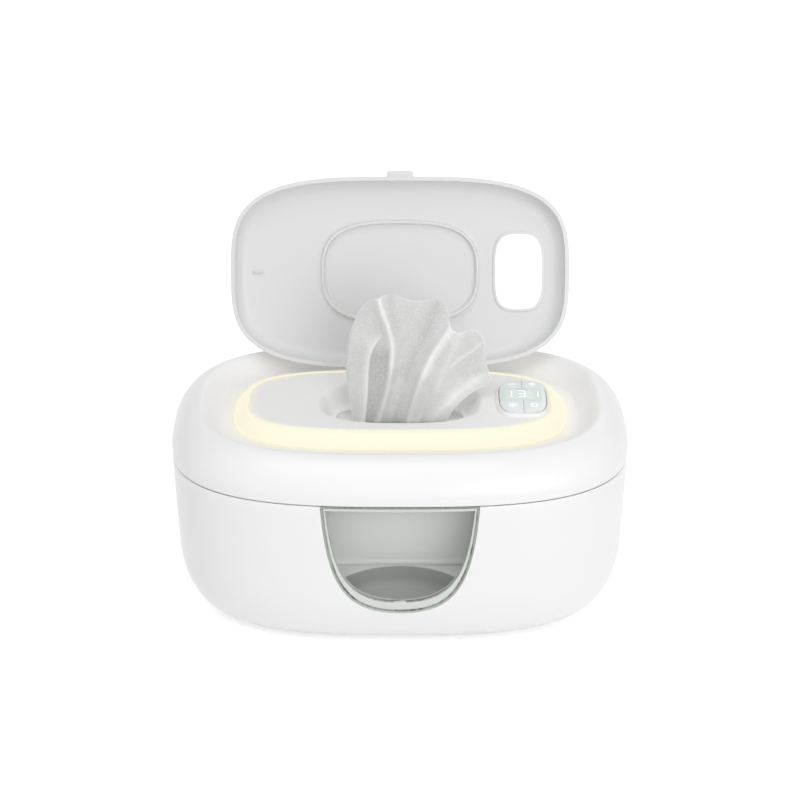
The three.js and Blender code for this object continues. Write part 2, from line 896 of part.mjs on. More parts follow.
function lidShell() {
  const outer = lidOutside();
  const inner = lidOutside(lid.wall);
  inner[0].z = outer[0].z;
  let shell = ringed([...inner.reverse(), ...outer]);
  const innerTop = inner[0].z;
  const hole = { x: lid.holeX, y: lid.holeY, round: panel.round, across: panel.at };
  const rim = { ...hole, x: lid.holeX + lid.ridge, y: lid.holeY + lid.ridge };
  const ridgeLow = innerTop - lid.ridgeDrop - gap * 2;
  const ridge = [{ ...rim, z: ridgeLow }, { ...rim, z: innerTop + gap }];
  const through = [{ ...hole, z: ridgeLow - overrun }, { ...hole, z: crest + lid.rise }];
  shell = join(shell, ringed(ridge, false, facets.panel));
  shell = cut(shell, ringed(through, false, facets.panel));

  // Half-moon fin inside, finger tab on the free edge
  const middle = innerTop - halfMoon.drop + halfMoon.radius;
  const moon = bar(halfMoon.radius, halfMoon.thick, halfMoon.at, 0, middle, "y", facets.disc);
  const across = 2 * (halfMoon.radius + overrun);
  const deep = halfMoon.thick + 2 * overrun;
  const below = block(across, deep, lid.rise, halfMoon.at, 0, innerTop + gap - lid.rise);
  shell = join(shell, moon.intersect(below));
  const tongue = new THREE.Shape();
  const edge = -lid.y - finger.reach;
  tongue.moveTo(-finger.width / 2, -lid.y + lid.wall / 2);
  tongue.lineTo(-finger.width / 2, edge + finger.reach / 2);
  tongue.quadraticCurveTo(-finger.width / 2, edge, -finger.width / 2 + finger.reach / 2, edge);
  tongue.lineTo(finger.width / 2 - finger.reach / 2, edge);
  tongue.quadraticCurveTo(finger.width / 2, edge, finger.width / 2, edge + finger.reach / 2);
  tongue.lineTo(finger.width / 2, -lid.y + lid.wall / 2);
  tongue.closePath();
  shell = join(shell, prism(tongue, finger.thick, lid.rim + finger.up, 6));

  // Hinge boss inside the rear edge, with a notch for each lug
  const bossLow = lidHinge.z - lidBoss.drop;
  const depth = lid.y - lid.wall / 2 - (lidHinge.y - lidBoss.reach);
  const bossY = lidHinge.y - lidBoss.reach + depth / 2;
  const hingeBoss = block(lidBoss.width, depth, innerTop + gap - bossLow, 0, bossY, bossLow);
  shell = join(shell, hingeBoss.intersect(ringed(lidOutside())));
  const reach = lidPin.lug + lidPin.play;
  const far = lid.rise;
  const slope = Math.tan(((lidHinge.openDegrees - 90) / 360) * turn);
  const notch = [
    [lidHinge.y - reach, lidHinge.z - far],
    [lidHinge.y - reach, lidHinge.z],
    [lidHinge.y - reach * Math.SQRT1_2, lidHinge.z + reach * Math.SQRT1_2],
    [lidHinge.y - reach * slope, lidHinge.z + reach],
    [lidHinge.y + far, lidHinge.z + reach + (far + reach) * slope],
    [lidHinge.y + far, lidHinge.z - far],
  ];
  for (const xSide of [-1, 1]) {
    shell = cut(shell, sidePrism(notch, lidPin.lugWidth + 2 * gap, xSide * lidPin.lugAt));
  }
  const length = lidPin.length + 2 * gap;
  return cut(shell, bar(lidPin.bore, length, 0, lidHinge.y, lidHinge.z, "x", facets.hinge));
}

function lidSeal() {
  const high = lidOutside(lid.wall).at(-1).z - seal.under;
  const low = island.top + gap;
  const outer = { x: seal.x, y: seal.y, round: seal.round };
  const inner = { x: seal.x - seal.width, y: seal.y - seal.width, round: seal.round };
  const tip = between(outer, inner, 0.5);
  return ringed(
    [
      { ...outer, z: high },
      { ...between(outer, inner, sealDraftShare), z: low + seal.tip },
      { ...tip, round: seal.round, z: low },
      { ...between(inner, outer, sealDraftShare), z: low + seal.tip },
      { ...inner, z: high },
    ],
    true,
    facets.seal,
  );
}

// Everything inside the housing that lies under the chamber's gasket
function underGasket() {
  return ringed([inset(0, body.lift), inset(0, tub.top)]);
}

// Window
function windowFrame() {
  const inside = skin(frame.recess, frame.thick);
  const lip = inside.intersect(cut(windowOuter(-gap), windowInner(0)));
  const tabY = body.wall - body.depth / 2;
  const tabZ = windowBottom.inner - frame.tabRise;
  const tab = block(frame.tab, body.wall * 2, frame.tabRise * 2, 0, tabY, tabZ);
  return join(lip, inside.intersect(tab));
}

function windowPane() {
  const sheet = skin(frame.recess + frame.thick + gap, pane.thick).intersect(windowInner(pane.overlap));
  return sheet.intersect(underGasket());
}

function windowGasket() {
  const depth = frame.recess + frame.thick + pane.thick + 2 * gap;
  const ring = cut(windowInner(pane.overlap), windowInner(pane.overlap - windowSeal.width));
  return skin(depth, windowSeal.thick).intersect(ring).intersect(underGasket());
}

// Chamber
function innerTub() {
  const draft = tub.inset + tub.draft;
  const floor = tub.floor - tub.wall;
  const rings = [
    inset(draft + tub.wall + tub.floorRound, tub.floor),
    inset(draft + tub.wall, tub.floor + tub.floorRound),
    inset(tub.inset + tub.wall, tub.top),
    inset(tub.flangeInset, tub.top),
    inset(tub.flangeInset, tub.top - tub.flange),
    inset(tub.inset, tub.top - tub.flange),
    inset(draft, tub.floor + tub.floorRound),
    inset(draft + tub.floorRound, floor),
  ];
  const round = (radius, insetBy, low, high) => {
    const column = bar(radius, high - low, 0, -pocket.reach - pocket.radius, low, "z", facets.pocket);
    return column.intersect(ringed([inset(insetBy, low), inset(insetBy, high)]));
  };
  const outer = round(pocket.radius + tub.wall, draft, pocket.floor - tub.wall, tub.floor + gap);
  const inner = round(pocket.radius, draft + tub.wall, pocket.floor, tub.top);
  const shape = cut(join(ringed(rings), outer), inner);
  return cut(shape, windowInner(pane.overlap + gap));
}

function tubGasket() {
  const low = tub.top + gap;
  const edge = tub.flangeInset + gap;
  return ringed(
    [
      inset(edge, low),
      inset(edge + gasket.width * gasketTopShare, low + gasket.height),
      inset(edge + gasket.width * (1 - gasketTopShare), low + gasket.height),
      inset(edge + gasket.width, low),
    ],
    true,
  );
}

function wipesPack() {
  const low = tub.floor + gap;
  const ring = (draw, z) => ({ x: pack.x - draw, y: pack.y - draw, round: pack.round, z });
  const top = low + pack.height;
  const rings = [
    ...packLowShares.map(([inwards, up]) => ring(pack.edge * inwards, low + pack.edge * up)),
    ...packHighShares.map(([inwards, down]) => ring(pack.edge * inwards, top - pack.edge * down)),
  ];
  return ringed(rings, false, facets.panel);
}

// Heater stack, from the chamber floor down
const heaterTop = tub.floor - tub.wall - gap;
const filmTop = heaterTop - heater.thick - gap;
const padTop = filmTop - film.thick - gap;

function flatPlate({ width, depth, thick, corner }, top) {
  const shape = new THREE.Shape();
  const x = width / 2 - corner;
  const y = depth / 2 - corner;
  shape.absarc(x, y, corner, 0, turn / 4);
  shape.absarc(-x, y, corner, turn / 4, turn / 2);
  shape.absarc(-x, -y, corner, turn / 2, (3 * turn) / 4);
  shape.absarc(x, -y, corner, (3 * turn) / 4, turn);
  return prism(shape, thick, top - thick, arcSteps).translate([0, heater.back, 0]);
}

function thermalCutOff() {
  const z = padTop - pad.thick - gap - cutOff.radius;
  const can = bar(cutOff.radius, cutOff.length, 0, heater.back, z, "x");
  const low = z - cutOff.tabThick / 2;
  return join(can, block(cutOff.tabs, cutOff.radius, cutOff.tabThick, 0, heater.back, low));
}

// Base plate with seats for the feet, screw holes and vents
function basePlate() {
  const low = body.lift + base.sunk;
  const through = base.thick + 2 * overrun;
  const ring = (z) => inset(base.inset + gap, z);
  let plate = ringed([ring(low), ring(baseTop)]);
  const footRing = inset(base.inset + foot.drawn, 0);
  for (const [, xSide, ySide] of corners) {
    const p = cornerPoint(baseBossRing, boss.angleShare, xSide, ySide);
    plate = cut(
      plate,
      bar(screw.radius + screw.play, through, p.x, p.y, low - overrun),
      bar(screw.head + screw.play, screw.headHeight + gap * 2, p.x, p.y, low - gap),
    );
    const f = cornerPoint(footRing, foot.cornerShare, xSide, ySide);
    const seat = bar(foot.radius + gap, foot.seat + overrun, f.x, f.y, low - overrun, "z", facets.hinge);
    plate = cut(plate, seat);
  }
  for (let i = 0; i < base.ventCount; i++) {
    const x = (i - (base.ventCount - 1) / 2) * base.ventPitch;
    plate = cut(plate, block(base.ventWidth, base.ventLength, through, x, 0, low - overrun));
  }
  return plate;
}

function footAt(xSide, ySide) {
  const p = cornerPoint(inset(base.inset + foot.drawn, 0), foot.cornerShare, xSide, ySide);
  return bar(foot.radius, foot.height, p.x, p.y, 0, "z", facets.hinge);
}

function screwAt(p, low, length) {
  const head = bar(screw.head, screw.headHeight, p.x, p.y, low, "z", screw.sides);
  return join(head, bar(screw.radius, length, p.x, p.y, low, "z", screw.sides));
}

function powerBoard() {
  const low = power.z;
  const top = low + power.thick;
  let shape = block(power.width, power.depth, power.thick, 0, power.back, low);
  const partShares = [
    [-0.36, 0.2, 0.14, 0.3, 0.2],
    [-0.14, -0.2, 0.2, 0.3, 0.16],
    [0.12, 0.18, 0.1, 0.2, 0.1],
    [0.34, -0.1, 0.16, 0.44, 0.22],
  ];
  for (const [x, y, w, d, h] of partShares) {
    const place = [x * power.width, power.back + y * power.depth, top - gap];
    shape = join(shape, block(w * power.width, d * power.depth, h * power.depth + gap, ...place));
  }
  const legs = power.width / 2 - boss.radius;
  const height = low - baseTop - gap + overrun;
  for (const xSide of [-1, 1]) {
    shape = join(shape, bar(boss.radius / 2, height, xSide * legs, power.back, baseTop + gap));
  }
  return shape;
}

// How far the rounded bottom has drawn in at a height below the straight side
function bottomDrawAt(z) {
  const level = 1 - (z - body.lift) / body.bottomRise;
  return body.sideDraw + body.bottomDraw * (1 - Math.sqrt(1 - level * level));
}

function powerInlet() {
  const mouth = body.depth / 2 - bottomDrawAt(inlet.z) - gap * 2;
  const can = bar(inlet.radius, inlet.length, 0, mouth - inlet.length / 2, inlet.z, "y", facets.disc);
  const bore = bar(inlet.bore, inlet.boreDepth * 2, 0, mouth, inlet.z, "y", facets.hole);
  const pinY = mouth - overrun - inlet.boreDepth / 2;
  const pin = bar(inlet.pin, inlet.boreDepth, 0, pinY, inlet.z, "y", facets.pin);
  return join(cut(can, bore), pin);
}

// The wipe: a thin sheet gathered in the gate, whose folds fan out above it
function alongTable(table, share) {
  const at = share * (table.length - 1);
  const low = Math.min(Math.floor(at), table.length - 2);
  return table[low] + (table[low + 1] - table[low]) * (at - low);
}

// Depth of the folds: the sheet comes forward at each place in the table and falls back between.
function foldAt(share) {
  const last = wipeRidgeShares.length - 1;
  const next = wipeRidgeShares.findIndex((ridge) => ridge > share);
  const high = next < 0 ? last : Math.max(next, 1);
  const [a, b] = [wipeRidgeShares[high - 1], wipeRidgeShares[high]];
  return Math.cos(((share - a) / (b - a)) * turn);
}

function wipeSheet() {
  const low = gateTop - wipe.tail;
  const point = (u, v, side) => {
    const spread = v ** wipe.spreadPower;
    const share = (2 * u - 1) * (1 - spread) + alongTable(wipeEdgeShares, u) * spread;
    const z = low + (wipe.tail + wipe.rise * alongTable(wipeRiseShares, u)) * v;
    const fold = foldAt(u) * wipe.fold * Math.min(v * 2, 1) ** 2 * (1 - v / 2);
    const y = well.back + wipe.lean * v * v - fold + (side * wipe.thick) / 2;
    return new THREE.Vector3(wipe.baseX * share, y, z);
  };
  const rings = [];
  for (let k = 0; k <= wipeUp; k++) {
    const v = k / wipeUp;
    const ring = [];
    for (let i = 0; i <= wipeAcross; i++) ring.push(point(i / wipeAcross, v, -1));
    for (let i = wipeAcross; i >= 0; i--) ring.push(point(i / wipeAcross, v, 1));
    rings.push(ring);
  }
  return strips(rings);
}

// A sheet's solid: as a loft, but each end is filled across from face to face.
function strips(rings) {
  const count = rings[0].length;
  const points = rings.flat();
  const faces = [];
  for (let k = 0; k < rings.length - 1; k++) {
    for (let i = 0; i < count; i++) {
      const j = (i + 1) % count;
      const [a, b] = [k * count, (k + 1) * count];
      faces.push(a + i, a + j, b + j, a + i, b + j, b + i);
    }
  }
  const last = (rings.length - 1) * count;
  for (let i = 0; i < count / 2 - 1; i++) {
    const back = count - 1 - i;
    faces.push(i, back, back - 1, i, back - 1, i + 1);
    faces.push(last + i, last + i + 1, last + back - 1, last + i, last + back - 1, last + back);
  }
  const geometry = new THREE.BufferGeometry().setFromPoints(points);
  geometry.setIndex(faces);
  return solid(geometry);
}

// The scene: the base stands, the cover turns at the back, the lid turns on the cover
const warmer = new THREE.Group();
warmer.name = "wipe_warmer";
const baseGroup = new THREE.Group();
baseGroup.position.y = shift;
const coverGroup = new THREE.Group();
coverGroup.position.y = shift;
const lidGroup = new THREE.Group();
lidGroup.position.set(0, shift + lidHinge.y, lidHinge.z);
lidGroup.rotation.x = (-lidHinge.openDegrees / 360) * turn;
warmer.add(baseGroup, coverGroup, lidGroup);

function place(group, name, shape, material) {
  const mesh = new THREE.Mesh(geometryOf(shape), material);
  mesh.name = name;
  if (group === lidGroup) mesh.position.set(0, -lidHinge.y, -lidHinge.z);
  group.add(mesh);
}

place(baseGroup, "lower_shell", lowerShell(), white);
place(baseGroup, "base_plate", basePlate(), warmWhite);
for (const [name, xSide, ySide] of corners) {
  place(baseGroup, `foot_${name}`, footAt(xSide, ySide), rubber);
  const p = cornerPoint(baseBossRing, boss.angleShare, xSide, ySide);
  place(baseGroup, `base_screw_${name}`, screwAt(p, body.lift + base.sunk, screw.length), steel);
}
place(baseGroup, "inner_tub", innerTub(), tubGrey);
place(baseGroup, "tub_gasket", tubGasket(), silicone);
place(baseGroup, "window_frame", windowFrame(), smoke);
place(baseGroup, "window_pane", windowPane(), clear);
place(baseGroup, "window_seal", windowGasket(), silicone);
place(baseGroup, "wipes_pack", wipesPack(), packFilm);
place(baseGroup, "heater_plate", flatPlate(heater, heaterTop), aluminium);
place(baseGroup, "heater_film", flatPlate(film, filmTop), amber);
place(baseGroup, "insulation_pad", flatPlate(pad, padTop), felt);
place(baseGroup, "thermal_cut_off", thermalCutOff(), steel);
place(baseGroup, "power_board", powerBoard(), boardGreen);
place(baseGroup, "power_inlet", powerInlet(), black);
const coverPin = bar(coverHinge.pin, 2 * coverHinge.inner, 0, hingeY, body.seam, "x", facets.hinge);
place(baseGroup, "cover_hinge_pin", coverPin, steel);

place(coverGroup, "upper_shell", upperShell(), white);
place(coverGroup, "deck_platform", platform(), warmWhite);
place(coverGroup, "light_ring", ringMoulding(), glow);
place(coverGroup, "led_board", ledStrip(), boardGreen);
place(coverGroup, "cover_liner", coverLiner(), warmWhite);
place(coverGroup, "wipe_gate", gateSheet(), silicone);
for (const [name, xSide, ySide] of corners) {
  const p = cornerPoint(coverBossRing, boss.angleShare, xSide, ySide);
  const low = liner.bottom - gap - screw.headHeight;
  place(coverGroup, `cover_screw_${name}`, screwAt(p, low, screw.length), steel);
}
place(coverGroup, "panel_surround", surround(), warmWhite);
place(coverGroup, "display_band", displayBand(), displayGreen);
place(coverGroup, "control_board", controlBoard(), boardGreen);
place(coverGroup, "key_minus", keyAt(-1, 1), keyWhite);
place(coverGroup, "key_plus", keyAt(1, 1), keyWhite);
place(coverGroup, "key_sun", keyAt(-1, -1), keyWhite);
place(coverGroup, "key_loop", keyAt(1, -1), keyWhite);
const hingePin = bar(lidPin.radius, lidPin.length, 0, lidHinge.y, lidHinge.z, "x");
place(coverGroup, "lid_hinge_pin", hingePin, steel);
place(coverGroup, "wipe_sheet", wipeSheet(), cloth);

place(lidGroup, "lid_shell", lidShell(), lidWhite);
place(lidGroup, "lid_seal", lidSeal(), silicone);

export default warmer;
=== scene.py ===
# %% [markdown]
# # A baby wipe warmer, piece by piece
# The real object is a warm box for wet wipes. Its housing is two oval mouldings that meet in a fine
# seam. The upper one carries a lit ring, a raised platform with a well for the wipe, a small key
# panel and a lid that stands open. A window in the front shows the pack of wipes.
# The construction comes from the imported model. Here every visible piece is modelled again, finer,
# over its solid, and each finish is built from nodes.

# %% Load the construction
import math

import bmesh
import bpy
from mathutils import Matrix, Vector, noise


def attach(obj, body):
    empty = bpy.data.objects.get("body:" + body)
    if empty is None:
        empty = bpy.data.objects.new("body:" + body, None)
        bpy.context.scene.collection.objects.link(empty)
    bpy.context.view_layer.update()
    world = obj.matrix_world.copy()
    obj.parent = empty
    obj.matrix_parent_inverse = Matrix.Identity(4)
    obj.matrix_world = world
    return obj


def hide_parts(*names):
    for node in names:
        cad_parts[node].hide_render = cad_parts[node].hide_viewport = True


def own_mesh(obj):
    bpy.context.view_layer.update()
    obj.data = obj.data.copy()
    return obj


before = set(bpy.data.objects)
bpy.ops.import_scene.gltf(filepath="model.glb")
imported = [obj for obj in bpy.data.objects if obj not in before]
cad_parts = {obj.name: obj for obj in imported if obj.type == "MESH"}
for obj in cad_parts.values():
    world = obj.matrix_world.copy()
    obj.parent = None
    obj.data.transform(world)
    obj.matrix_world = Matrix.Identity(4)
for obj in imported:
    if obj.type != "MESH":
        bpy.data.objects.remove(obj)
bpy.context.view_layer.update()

# %% [markdown]
# ## Camera
# The photograph was taken from in front and a little above, with a long lens, so that the sides
# hardly converge. A camera 1.32 m away at 25.4 degrees with a 112 mm lens gives the same view.

# %% Set the camera
MILLIMETRE = 0.001


def mm(length):
    """A length in millimetres as metres."""
    return length * MILLIMETRE


HOUSING_BACK = -3.2
VIEW_DOWN = math.radians(25.4)
VIEW_DISTANCE = 1.32
LENS, SENSOR = 112.5, 36
VIEW_CENTRE = Vector((0, mm(HOUSING_BACK), mm(110)))
towards_camera = Vector((0, -math.cos(VIEW_DOWN), math.sin(VIEW_DOWN)))
bpy.ops.object.camera_add(
    location=VIEW_CENTRE + VIEW_DISTANCE * towards_camera,
    rotation=(math.pi / 2 - VIEW_DOWN, 0, 0),
)
camera = bpy.context.object
camera.name = "camera"
camera.data.lens = LENS
camera.data.sensor_width = SENSOR
bpy.context.scene.camera = camera
bpy.context.scene.view_settings.view_transform = "Standard"
print("camera at", [round(x, 3) for x in camera.location])

# %% [markdown]
# ## Tools for shader nodes
# A finish is a handful of nodes and the links between them. A few short functions keep that
# readable: they make a material, a node that mixes two colours, a node that calculates, and links.


# %% Make the tools for nodes
def new_material(name):
    """A material with only its Principled shader and output, and its node tree."""
    material = bpy.data.materials.new(name)
    material.use_nodes = True
    nodes = material.node_tree.nodes
    return material, material.node_tree, nodes["Principled BSDF"]


def colour_mix(nodes):
    """A node that mixes the colours A and B."""
    mix = nodes.new("ShaderNodeMix")
    mix.data_type = "RGBA"
    return mix


def math_node(nodes, operation):
    node = nodes.new("ShaderNodeMath")
    node.operation = operation
    return node


def wire(links, *joins):
    """Makes links, each given as a node, its output, the next node and its input."""
    for source, output, target, entry in joins:
        links.new(source.outputs[output], target.inputs[entry])


print("a calculating node is made by", math_node.__name__)

# %% [markdown]
# ## Floor, background and light
# The object stands on a plain pale floor in front of white. The floor is a large sheet that takes
# the soft shadow. It has a little light of its own for what the camera sees, directly, in gloss or
# through glass, so that it ends up white away from the object. The world is an even, soft light, and
# three large lamps give the forms their shape: one in front to the right, a broad one overhead, and
# a weak one from behind.

# %% Lay the floor and hang the lamps
FLOOR_SIZE, FLOOR_GREY, FLOOR_GLOW = 8, 0.9, 0.5
WORLD_LIGHT = 0.55
bpy.ops.object.select_all(action="DESELECT")
bpy.ops.mesh.primitive_plane_add(size=FLOOR_SIZE, location=(0, 0, 0))
floor = bpy.context.object
floor.name = "floor"
floor_material, floor_tree, floor_shader = new_material("studio_floor")
floor_shader.inputs["Base Color"].default_value = (FLOOR_GREY, FLOOR_GREY, FLOOR_GREY, 1)
floor_shader.inputs["Roughness"].default_value = 0.9
floor_shader.inputs["Specular IOR Level"].default_value = 0
floor_shader.inputs["Emission Color"].default_value = (1, 1, 1, 1)


def add_seen(tree):
    """A value that is 1 for what the camera sees, directly, in gloss or through glass."""
    path = tree.nodes.new("ShaderNodeLightPath")
    direct = math_node(tree.nodes, "MAXIMUM")
    seen = math_node(tree.nodes, "MAXIMUM")
    wire(
        tree.links,
        (path, "Is Camera Ray", direct, 0),
        (path, "Is Transmission Ray", direct, 1),
        (direct, 0, seen, 0),
        (path, "Is Glossy Ray", seen, 1),
    )
    return seen.outputs[0]


floor_glow = math_node(floor_tree.nodes, "MULTIPLY")
floor_glow.inputs[1].default_value = FLOOR_GLOW
floor_tree.links.new(add_seen(floor_tree), floor_glow.inputs[0])
floor_tree.links.new(floor_glow.outputs[0], floor_shader.inputs["Emission Strength"])
floor.data.materials.append(floor_material)

world = bpy.data.worlds.new("studio")
bpy.context.scene.world = world
world.use_nodes = True
world_tree = world.node_tree
strength = world_tree.nodes.new("ShaderNodeMapRange")
strength.inputs["To Min"].default_value = WORLD_LIGHT
strength.inputs["To Max"].default_value = 1
world_tree.links.new(add_seen(world_tree), strength.inputs["Value"])
backdrop = world_tree.nodes["Background"]
backdrop.inputs["Color"].default_value = (1, 1, 1, 1)
world_tree.links.new(strength.outputs["Result"], backdrop.inputs["Strength"])


def hang_lamp(name, place, aim, size, power):
    """A square soft lamp that points at aim."""
    bpy.ops.object.light_add(type="AREA", location=place)
    lamp = bpy.context.object
    lamp.name = name
    lamp.data.size = size
    lamp.data.energy = power
    lamp.rotation_euler = (Vector(aim) - Vector(place)).to_track_quat("-Z", "Y").to_euler()


MIDDLE = (0, 0, 0.1)
hang_lamp("key_lamp", (1.0, -1.9, 0.75), MIDDLE, 1.5, 15)
hang_lamp("top_lamp", (-0.3, -0.7, 1.8), MIDDLE, 1.4, 9)
hang_lamp("back_lamp", (0.6, 1.5, 1.1), MIDDLE, 1.0, 2)
print("floor", FLOOR_SIZE, "m wide, three lamps")

# %% [markdown]
# ## How the mouldings are drawn
# Nearly every moulding here is an oblong with full, round corners, a form between an ellipse and a
# rectangle. It could be cut from a rounded box, but its corners would be arcs with a visible start.
# So each piece begins as one circle whose points are placed on that outline, and its edge is then
# extruded upwards and placed again, ring by ring, as a potter draws up a wall.
# All sizes are in millimetres about the middle of the housing. A finished piece is moved to its
# place in the frame at the end.

# %% Tools for rings
RING_POINTS = 160
MERGE_BELOW = mm(0.002)


def outline(half_x, half_y, power, height, across=0.0, back=0.0, count=RING_POINTS):
    """Points on a rounded oblong. A power of 2 is an ellipse, and more is squarer."""
    points = []
    for step in range(count):
        angle = math.pi / 2 + 2 * math.pi * step / count
        c, s = math.cos(angle), math.sin(angle)
        x = math.copysign(abs(c) ** (2 / power), c) * half_x + across
        y = math.copysign(abs(s) ** (2 / power), s) * half_y + back
        points.append(Vector((mm(x), mm(y), mm(height))))
    return points


def start_ring(name, points):
    """A new piece that is one open ring, in edit mode."""
    bpy.ops.object.select_all(action="DESELECT")
    bpy.ops.mesh.primitive_circle_add(
        vertices=len(points), radius=mm(1), fill_type="NOTHING", enter_editmode=True
    )
    piece = bpy.context.object
    piece.name = piece.data.name = name
    mesh = bmesh.from_edit_mesh(piece.data)
    order = mesh.verts.layers.int.new("order")
    mesh.verts.ensure_lookup_table()
    for number, vertex in enumerate(mesh.verts):
        vertex[order] = number
        vertex.co = points[number]
    bmesh.update_edit_mesh(piece.data)
    return piece


def pull_ring(piece, points):
    """Extrudes the selected ring and places the new one."""
    bpy.ops.mesh.extrude_region_move()
    mesh = bmesh.from_edit_mesh(piece.data)
    order = mesh.verts.layers.int["order"]
    for vertex in mesh.verts:
        if vertex.select:
            vertex.co = points[vertex[order]]
    bmesh.update_edit_mesh(piece.data)


def select_first_ring(piece, count):
    """Leaves only the edges between the first points selected."""
    mesh = bmesh.from_edit_mesh(piece.data)
    mesh.select_mode = {"EDGE"}
    for part in (*mesh.faces, *mesh.edges, *mesh.verts):
        part.select = False
    for edge in mesh.edges:
        edge.select = all(vertex.index < count for vertex in edge.verts)
    mesh.select_flush_mode()
    bmesh.update_edit_mesh(piece.data)


def draw_rings(name, rings, start="open", end="open"):
    """A piece from a list of outlines. Its ends stay open, are filled flat, or are merged to a point."""
    piece = start_ring(name, rings[0])
    if start != "open":
        bpy.ops.mesh.edge_face_add()
    if start == "point":
        bpy.ops.mesh.poke()
        select_first_ring(piece, len(rings[0]))
    for ring in rings[1:]:
        pull_ring(piece, ring)
    if end == "flat" and start != "flat":
        bpy.ops.mesh.edge_face_add()
    if end == "point":
        bpy.ops.mesh.merge(type="CENTER")
    bpy.ops.mesh.select_all(action="SELECT")
    bpy.ops.mesh.remove_doubles(threshold=MERGE_BELOW)
    bpy.ops.mesh.normals_make_consistent(inside=False)
    bpy.ops.object.mode_set(mode="OBJECT")
    piece.data.attributes.remove(piece.data.attributes["order"])
    return piece


def pick(piece):
    """Selects one piece alone and makes it the active one."""
    bpy.ops.object.select_all(action="DESELECT")
    piece.select_set(True)
    bpy.context.view_layer.objects.active = piece


def apply_modifier(piece, kind, **settings):
    """Adds one modifier with its settings and applies it."""
    bpy.context.view_layer.objects.active = piece
    modifier = piece.modifiers.new(kind.lower(), kind)
    for name, value in settings.items():
        setattr(modifier, name, value)
    bpy.ops.object.modifier_apply(modifier=modifier.name)


def round_edges(piece, width, segments, sharper_than):
    """Bevels the edges whose faces meet at more than an angle in degrees."""
    limit = math.radians(sharper_than)
    apply_modifier(piece, "BEVEL", width=mm(width), segments=segments, limit_method="ANGLE", angle_limit=limit)


def give_wall(piece, thickness):
    """Turns a skin into a wall that grows inwards."""
    apply_modifier(piece, "SOLIDIFY", thickness=mm(thickness), offset=-1, use_even_offset=True)


def work_with(piece, tool, operation):
    """Cuts, joins or keeps by another solid, which is used up. Both have to be closed solids."""
    apply_modifier(piece, "BOOLEAN", object=tool, operation=operation, solver="EXACT")
    bpy.data.objects.remove(tool)


def face_towards(piece, way):
    """Turns an open skin round where most of it faces away from a direction."""
    if sum(face.normal.dot(Vector(way)) * face.area for face in piece.data.polygons) < 0:
        for face in piece.data.polygons:
            face.flip()


def face_up(piece):
    face_towards(piece, (0, 0, 1))


def face_front(piece):
    face_towards(piece, (0, -1, 0))


def between(low, high, share):
    return low + (high - low) * share


def ease(share):
    """From 0 to 1 with a soft start and end."""
    return share * share * (3 - 2 * share)


print("a ring has", RING_POINTS, "points")

# %% [markdown]
# Every finished piece gets the same last steps: it is moved from the housing's middle to its place
# in the frame, its faces are shaded smooth except at real edges, it takes its material, and it is
# tied to the body that carries it.

# %% Tools for finishing
SMOOTH_BELOW = math.radians(32)


def settle(piece, body, material, replaces=(), smooth=SMOOTH_BELOW):
    """Moves, smooths, paints and mounts a piece."""
    pick(piece)
    bpy.ops.transform.translate(value=(0, mm(HOUSING_BACK), 0))
    bpy.ops.object.transform_apply(location=True, rotation=True, scale=True)
    bpy.ops.object.shade_smooth_by_angle(angle=smooth)
    piece.data.materials.clear()
    piece.data.materials.append(material)
    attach(piece, body)
    if replaces:
        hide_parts(*replaces)
    print(piece.name, "on", body, "with", len(piece.data.polygons), "faces")


# %% [markdown]
# ## Moulded plastic
# The housing is glossy white plastic. A real moulding is never perfectly even: its gloss and its
# surface change very slightly over centimetres, and a fine grain breaks the reflections. One node
# group makes that unevenness for every plastic here, each with its own values.


# %% Node group for moulded plastic
def new_group(name, inputs, outputs):
    """A node group with its sockets, and its input and output node."""
    group = bpy.data.node_groups.new(name, "ShaderNodeTree")
    for way, sockets in (("INPUT", inputs), ("OUTPUT", outputs)):
        for socket, kind in sockets:
            group.interface.new_socket(name=socket, in_out=way, socket_type="NodeSocket" + kind)
    return group, group.nodes.new("NodeGroupInput"), group.nodes.new("NodeGroupOutput")


def make_moulding_group():
    """Colour, roughness and normal of a moulded surface."""
    group, given, result = new_group(
        "moulding_surface",
        [
            ("Colour", "Color"),
            ("Shade", "Color"),
            ("Mottle", "Float"),
            ("Roughness", "Float"),
            ("Grain", "Float"),
            ("Grain Size", "Float"),
        ],
        [("Colour", "Color"), ("Roughness", "Float"), ("Normal", "Vector")],
    )
    nodes, links = group.nodes, group.links
    place = nodes.new("ShaderNodeTexCoord")
    broad = nodes.new("ShaderNodeTexNoise")
    broad.inputs["Scale"].default_value = 18
    broad.inputs["Detail"].default_value = 3
    fine = nodes.new("ShaderNodeTexNoise")
    fine.inputs["Detail"].default_value = 4
    amount = math_node(nodes, "MULTIPLY")
    tint = colour_mix(nodes)
    gloss = nodes.new("ShaderNodeMapRange")
    gloss.inputs["To Min"].default_value = -0.05
    gloss.inputs["To Max"].default_value = 0.05
    uneven = nodes.new("ShaderNodeMath")
    bump = nodes.new("ShaderNodeBump")
    bump.inputs["Distance"].default_value = mm(0.06)
    wire(
        links,
        (place, "Object", broad, "Vector"),
        (place, "Object", fine, "Vector"),
        (given, "Grain Size", fine, "Scale"),
        (broad, "Fac", amount, 0),
        (given, "Mottle", amount, 1),
        (amount, 0, tint, "Factor"),
        (given, "Colour", tint, "A"),
        (given, "Shade", tint, "B"),
        (broad, "Fac", gloss, "Value"),
        (given, "Roughness", uneven, 0),
        (gloss, "Result", uneven, 1),
        (given, "Grain", bump, "Strength"),
        (fine, "Fac", bump, "Height"),
        (tint, "Result", result, "Colour"),
        (uneven, 0, result, "Roughness"),
        (bump, "Normal", result, "Normal"),
    )
    return group


moulding_group = make_moulding_group()


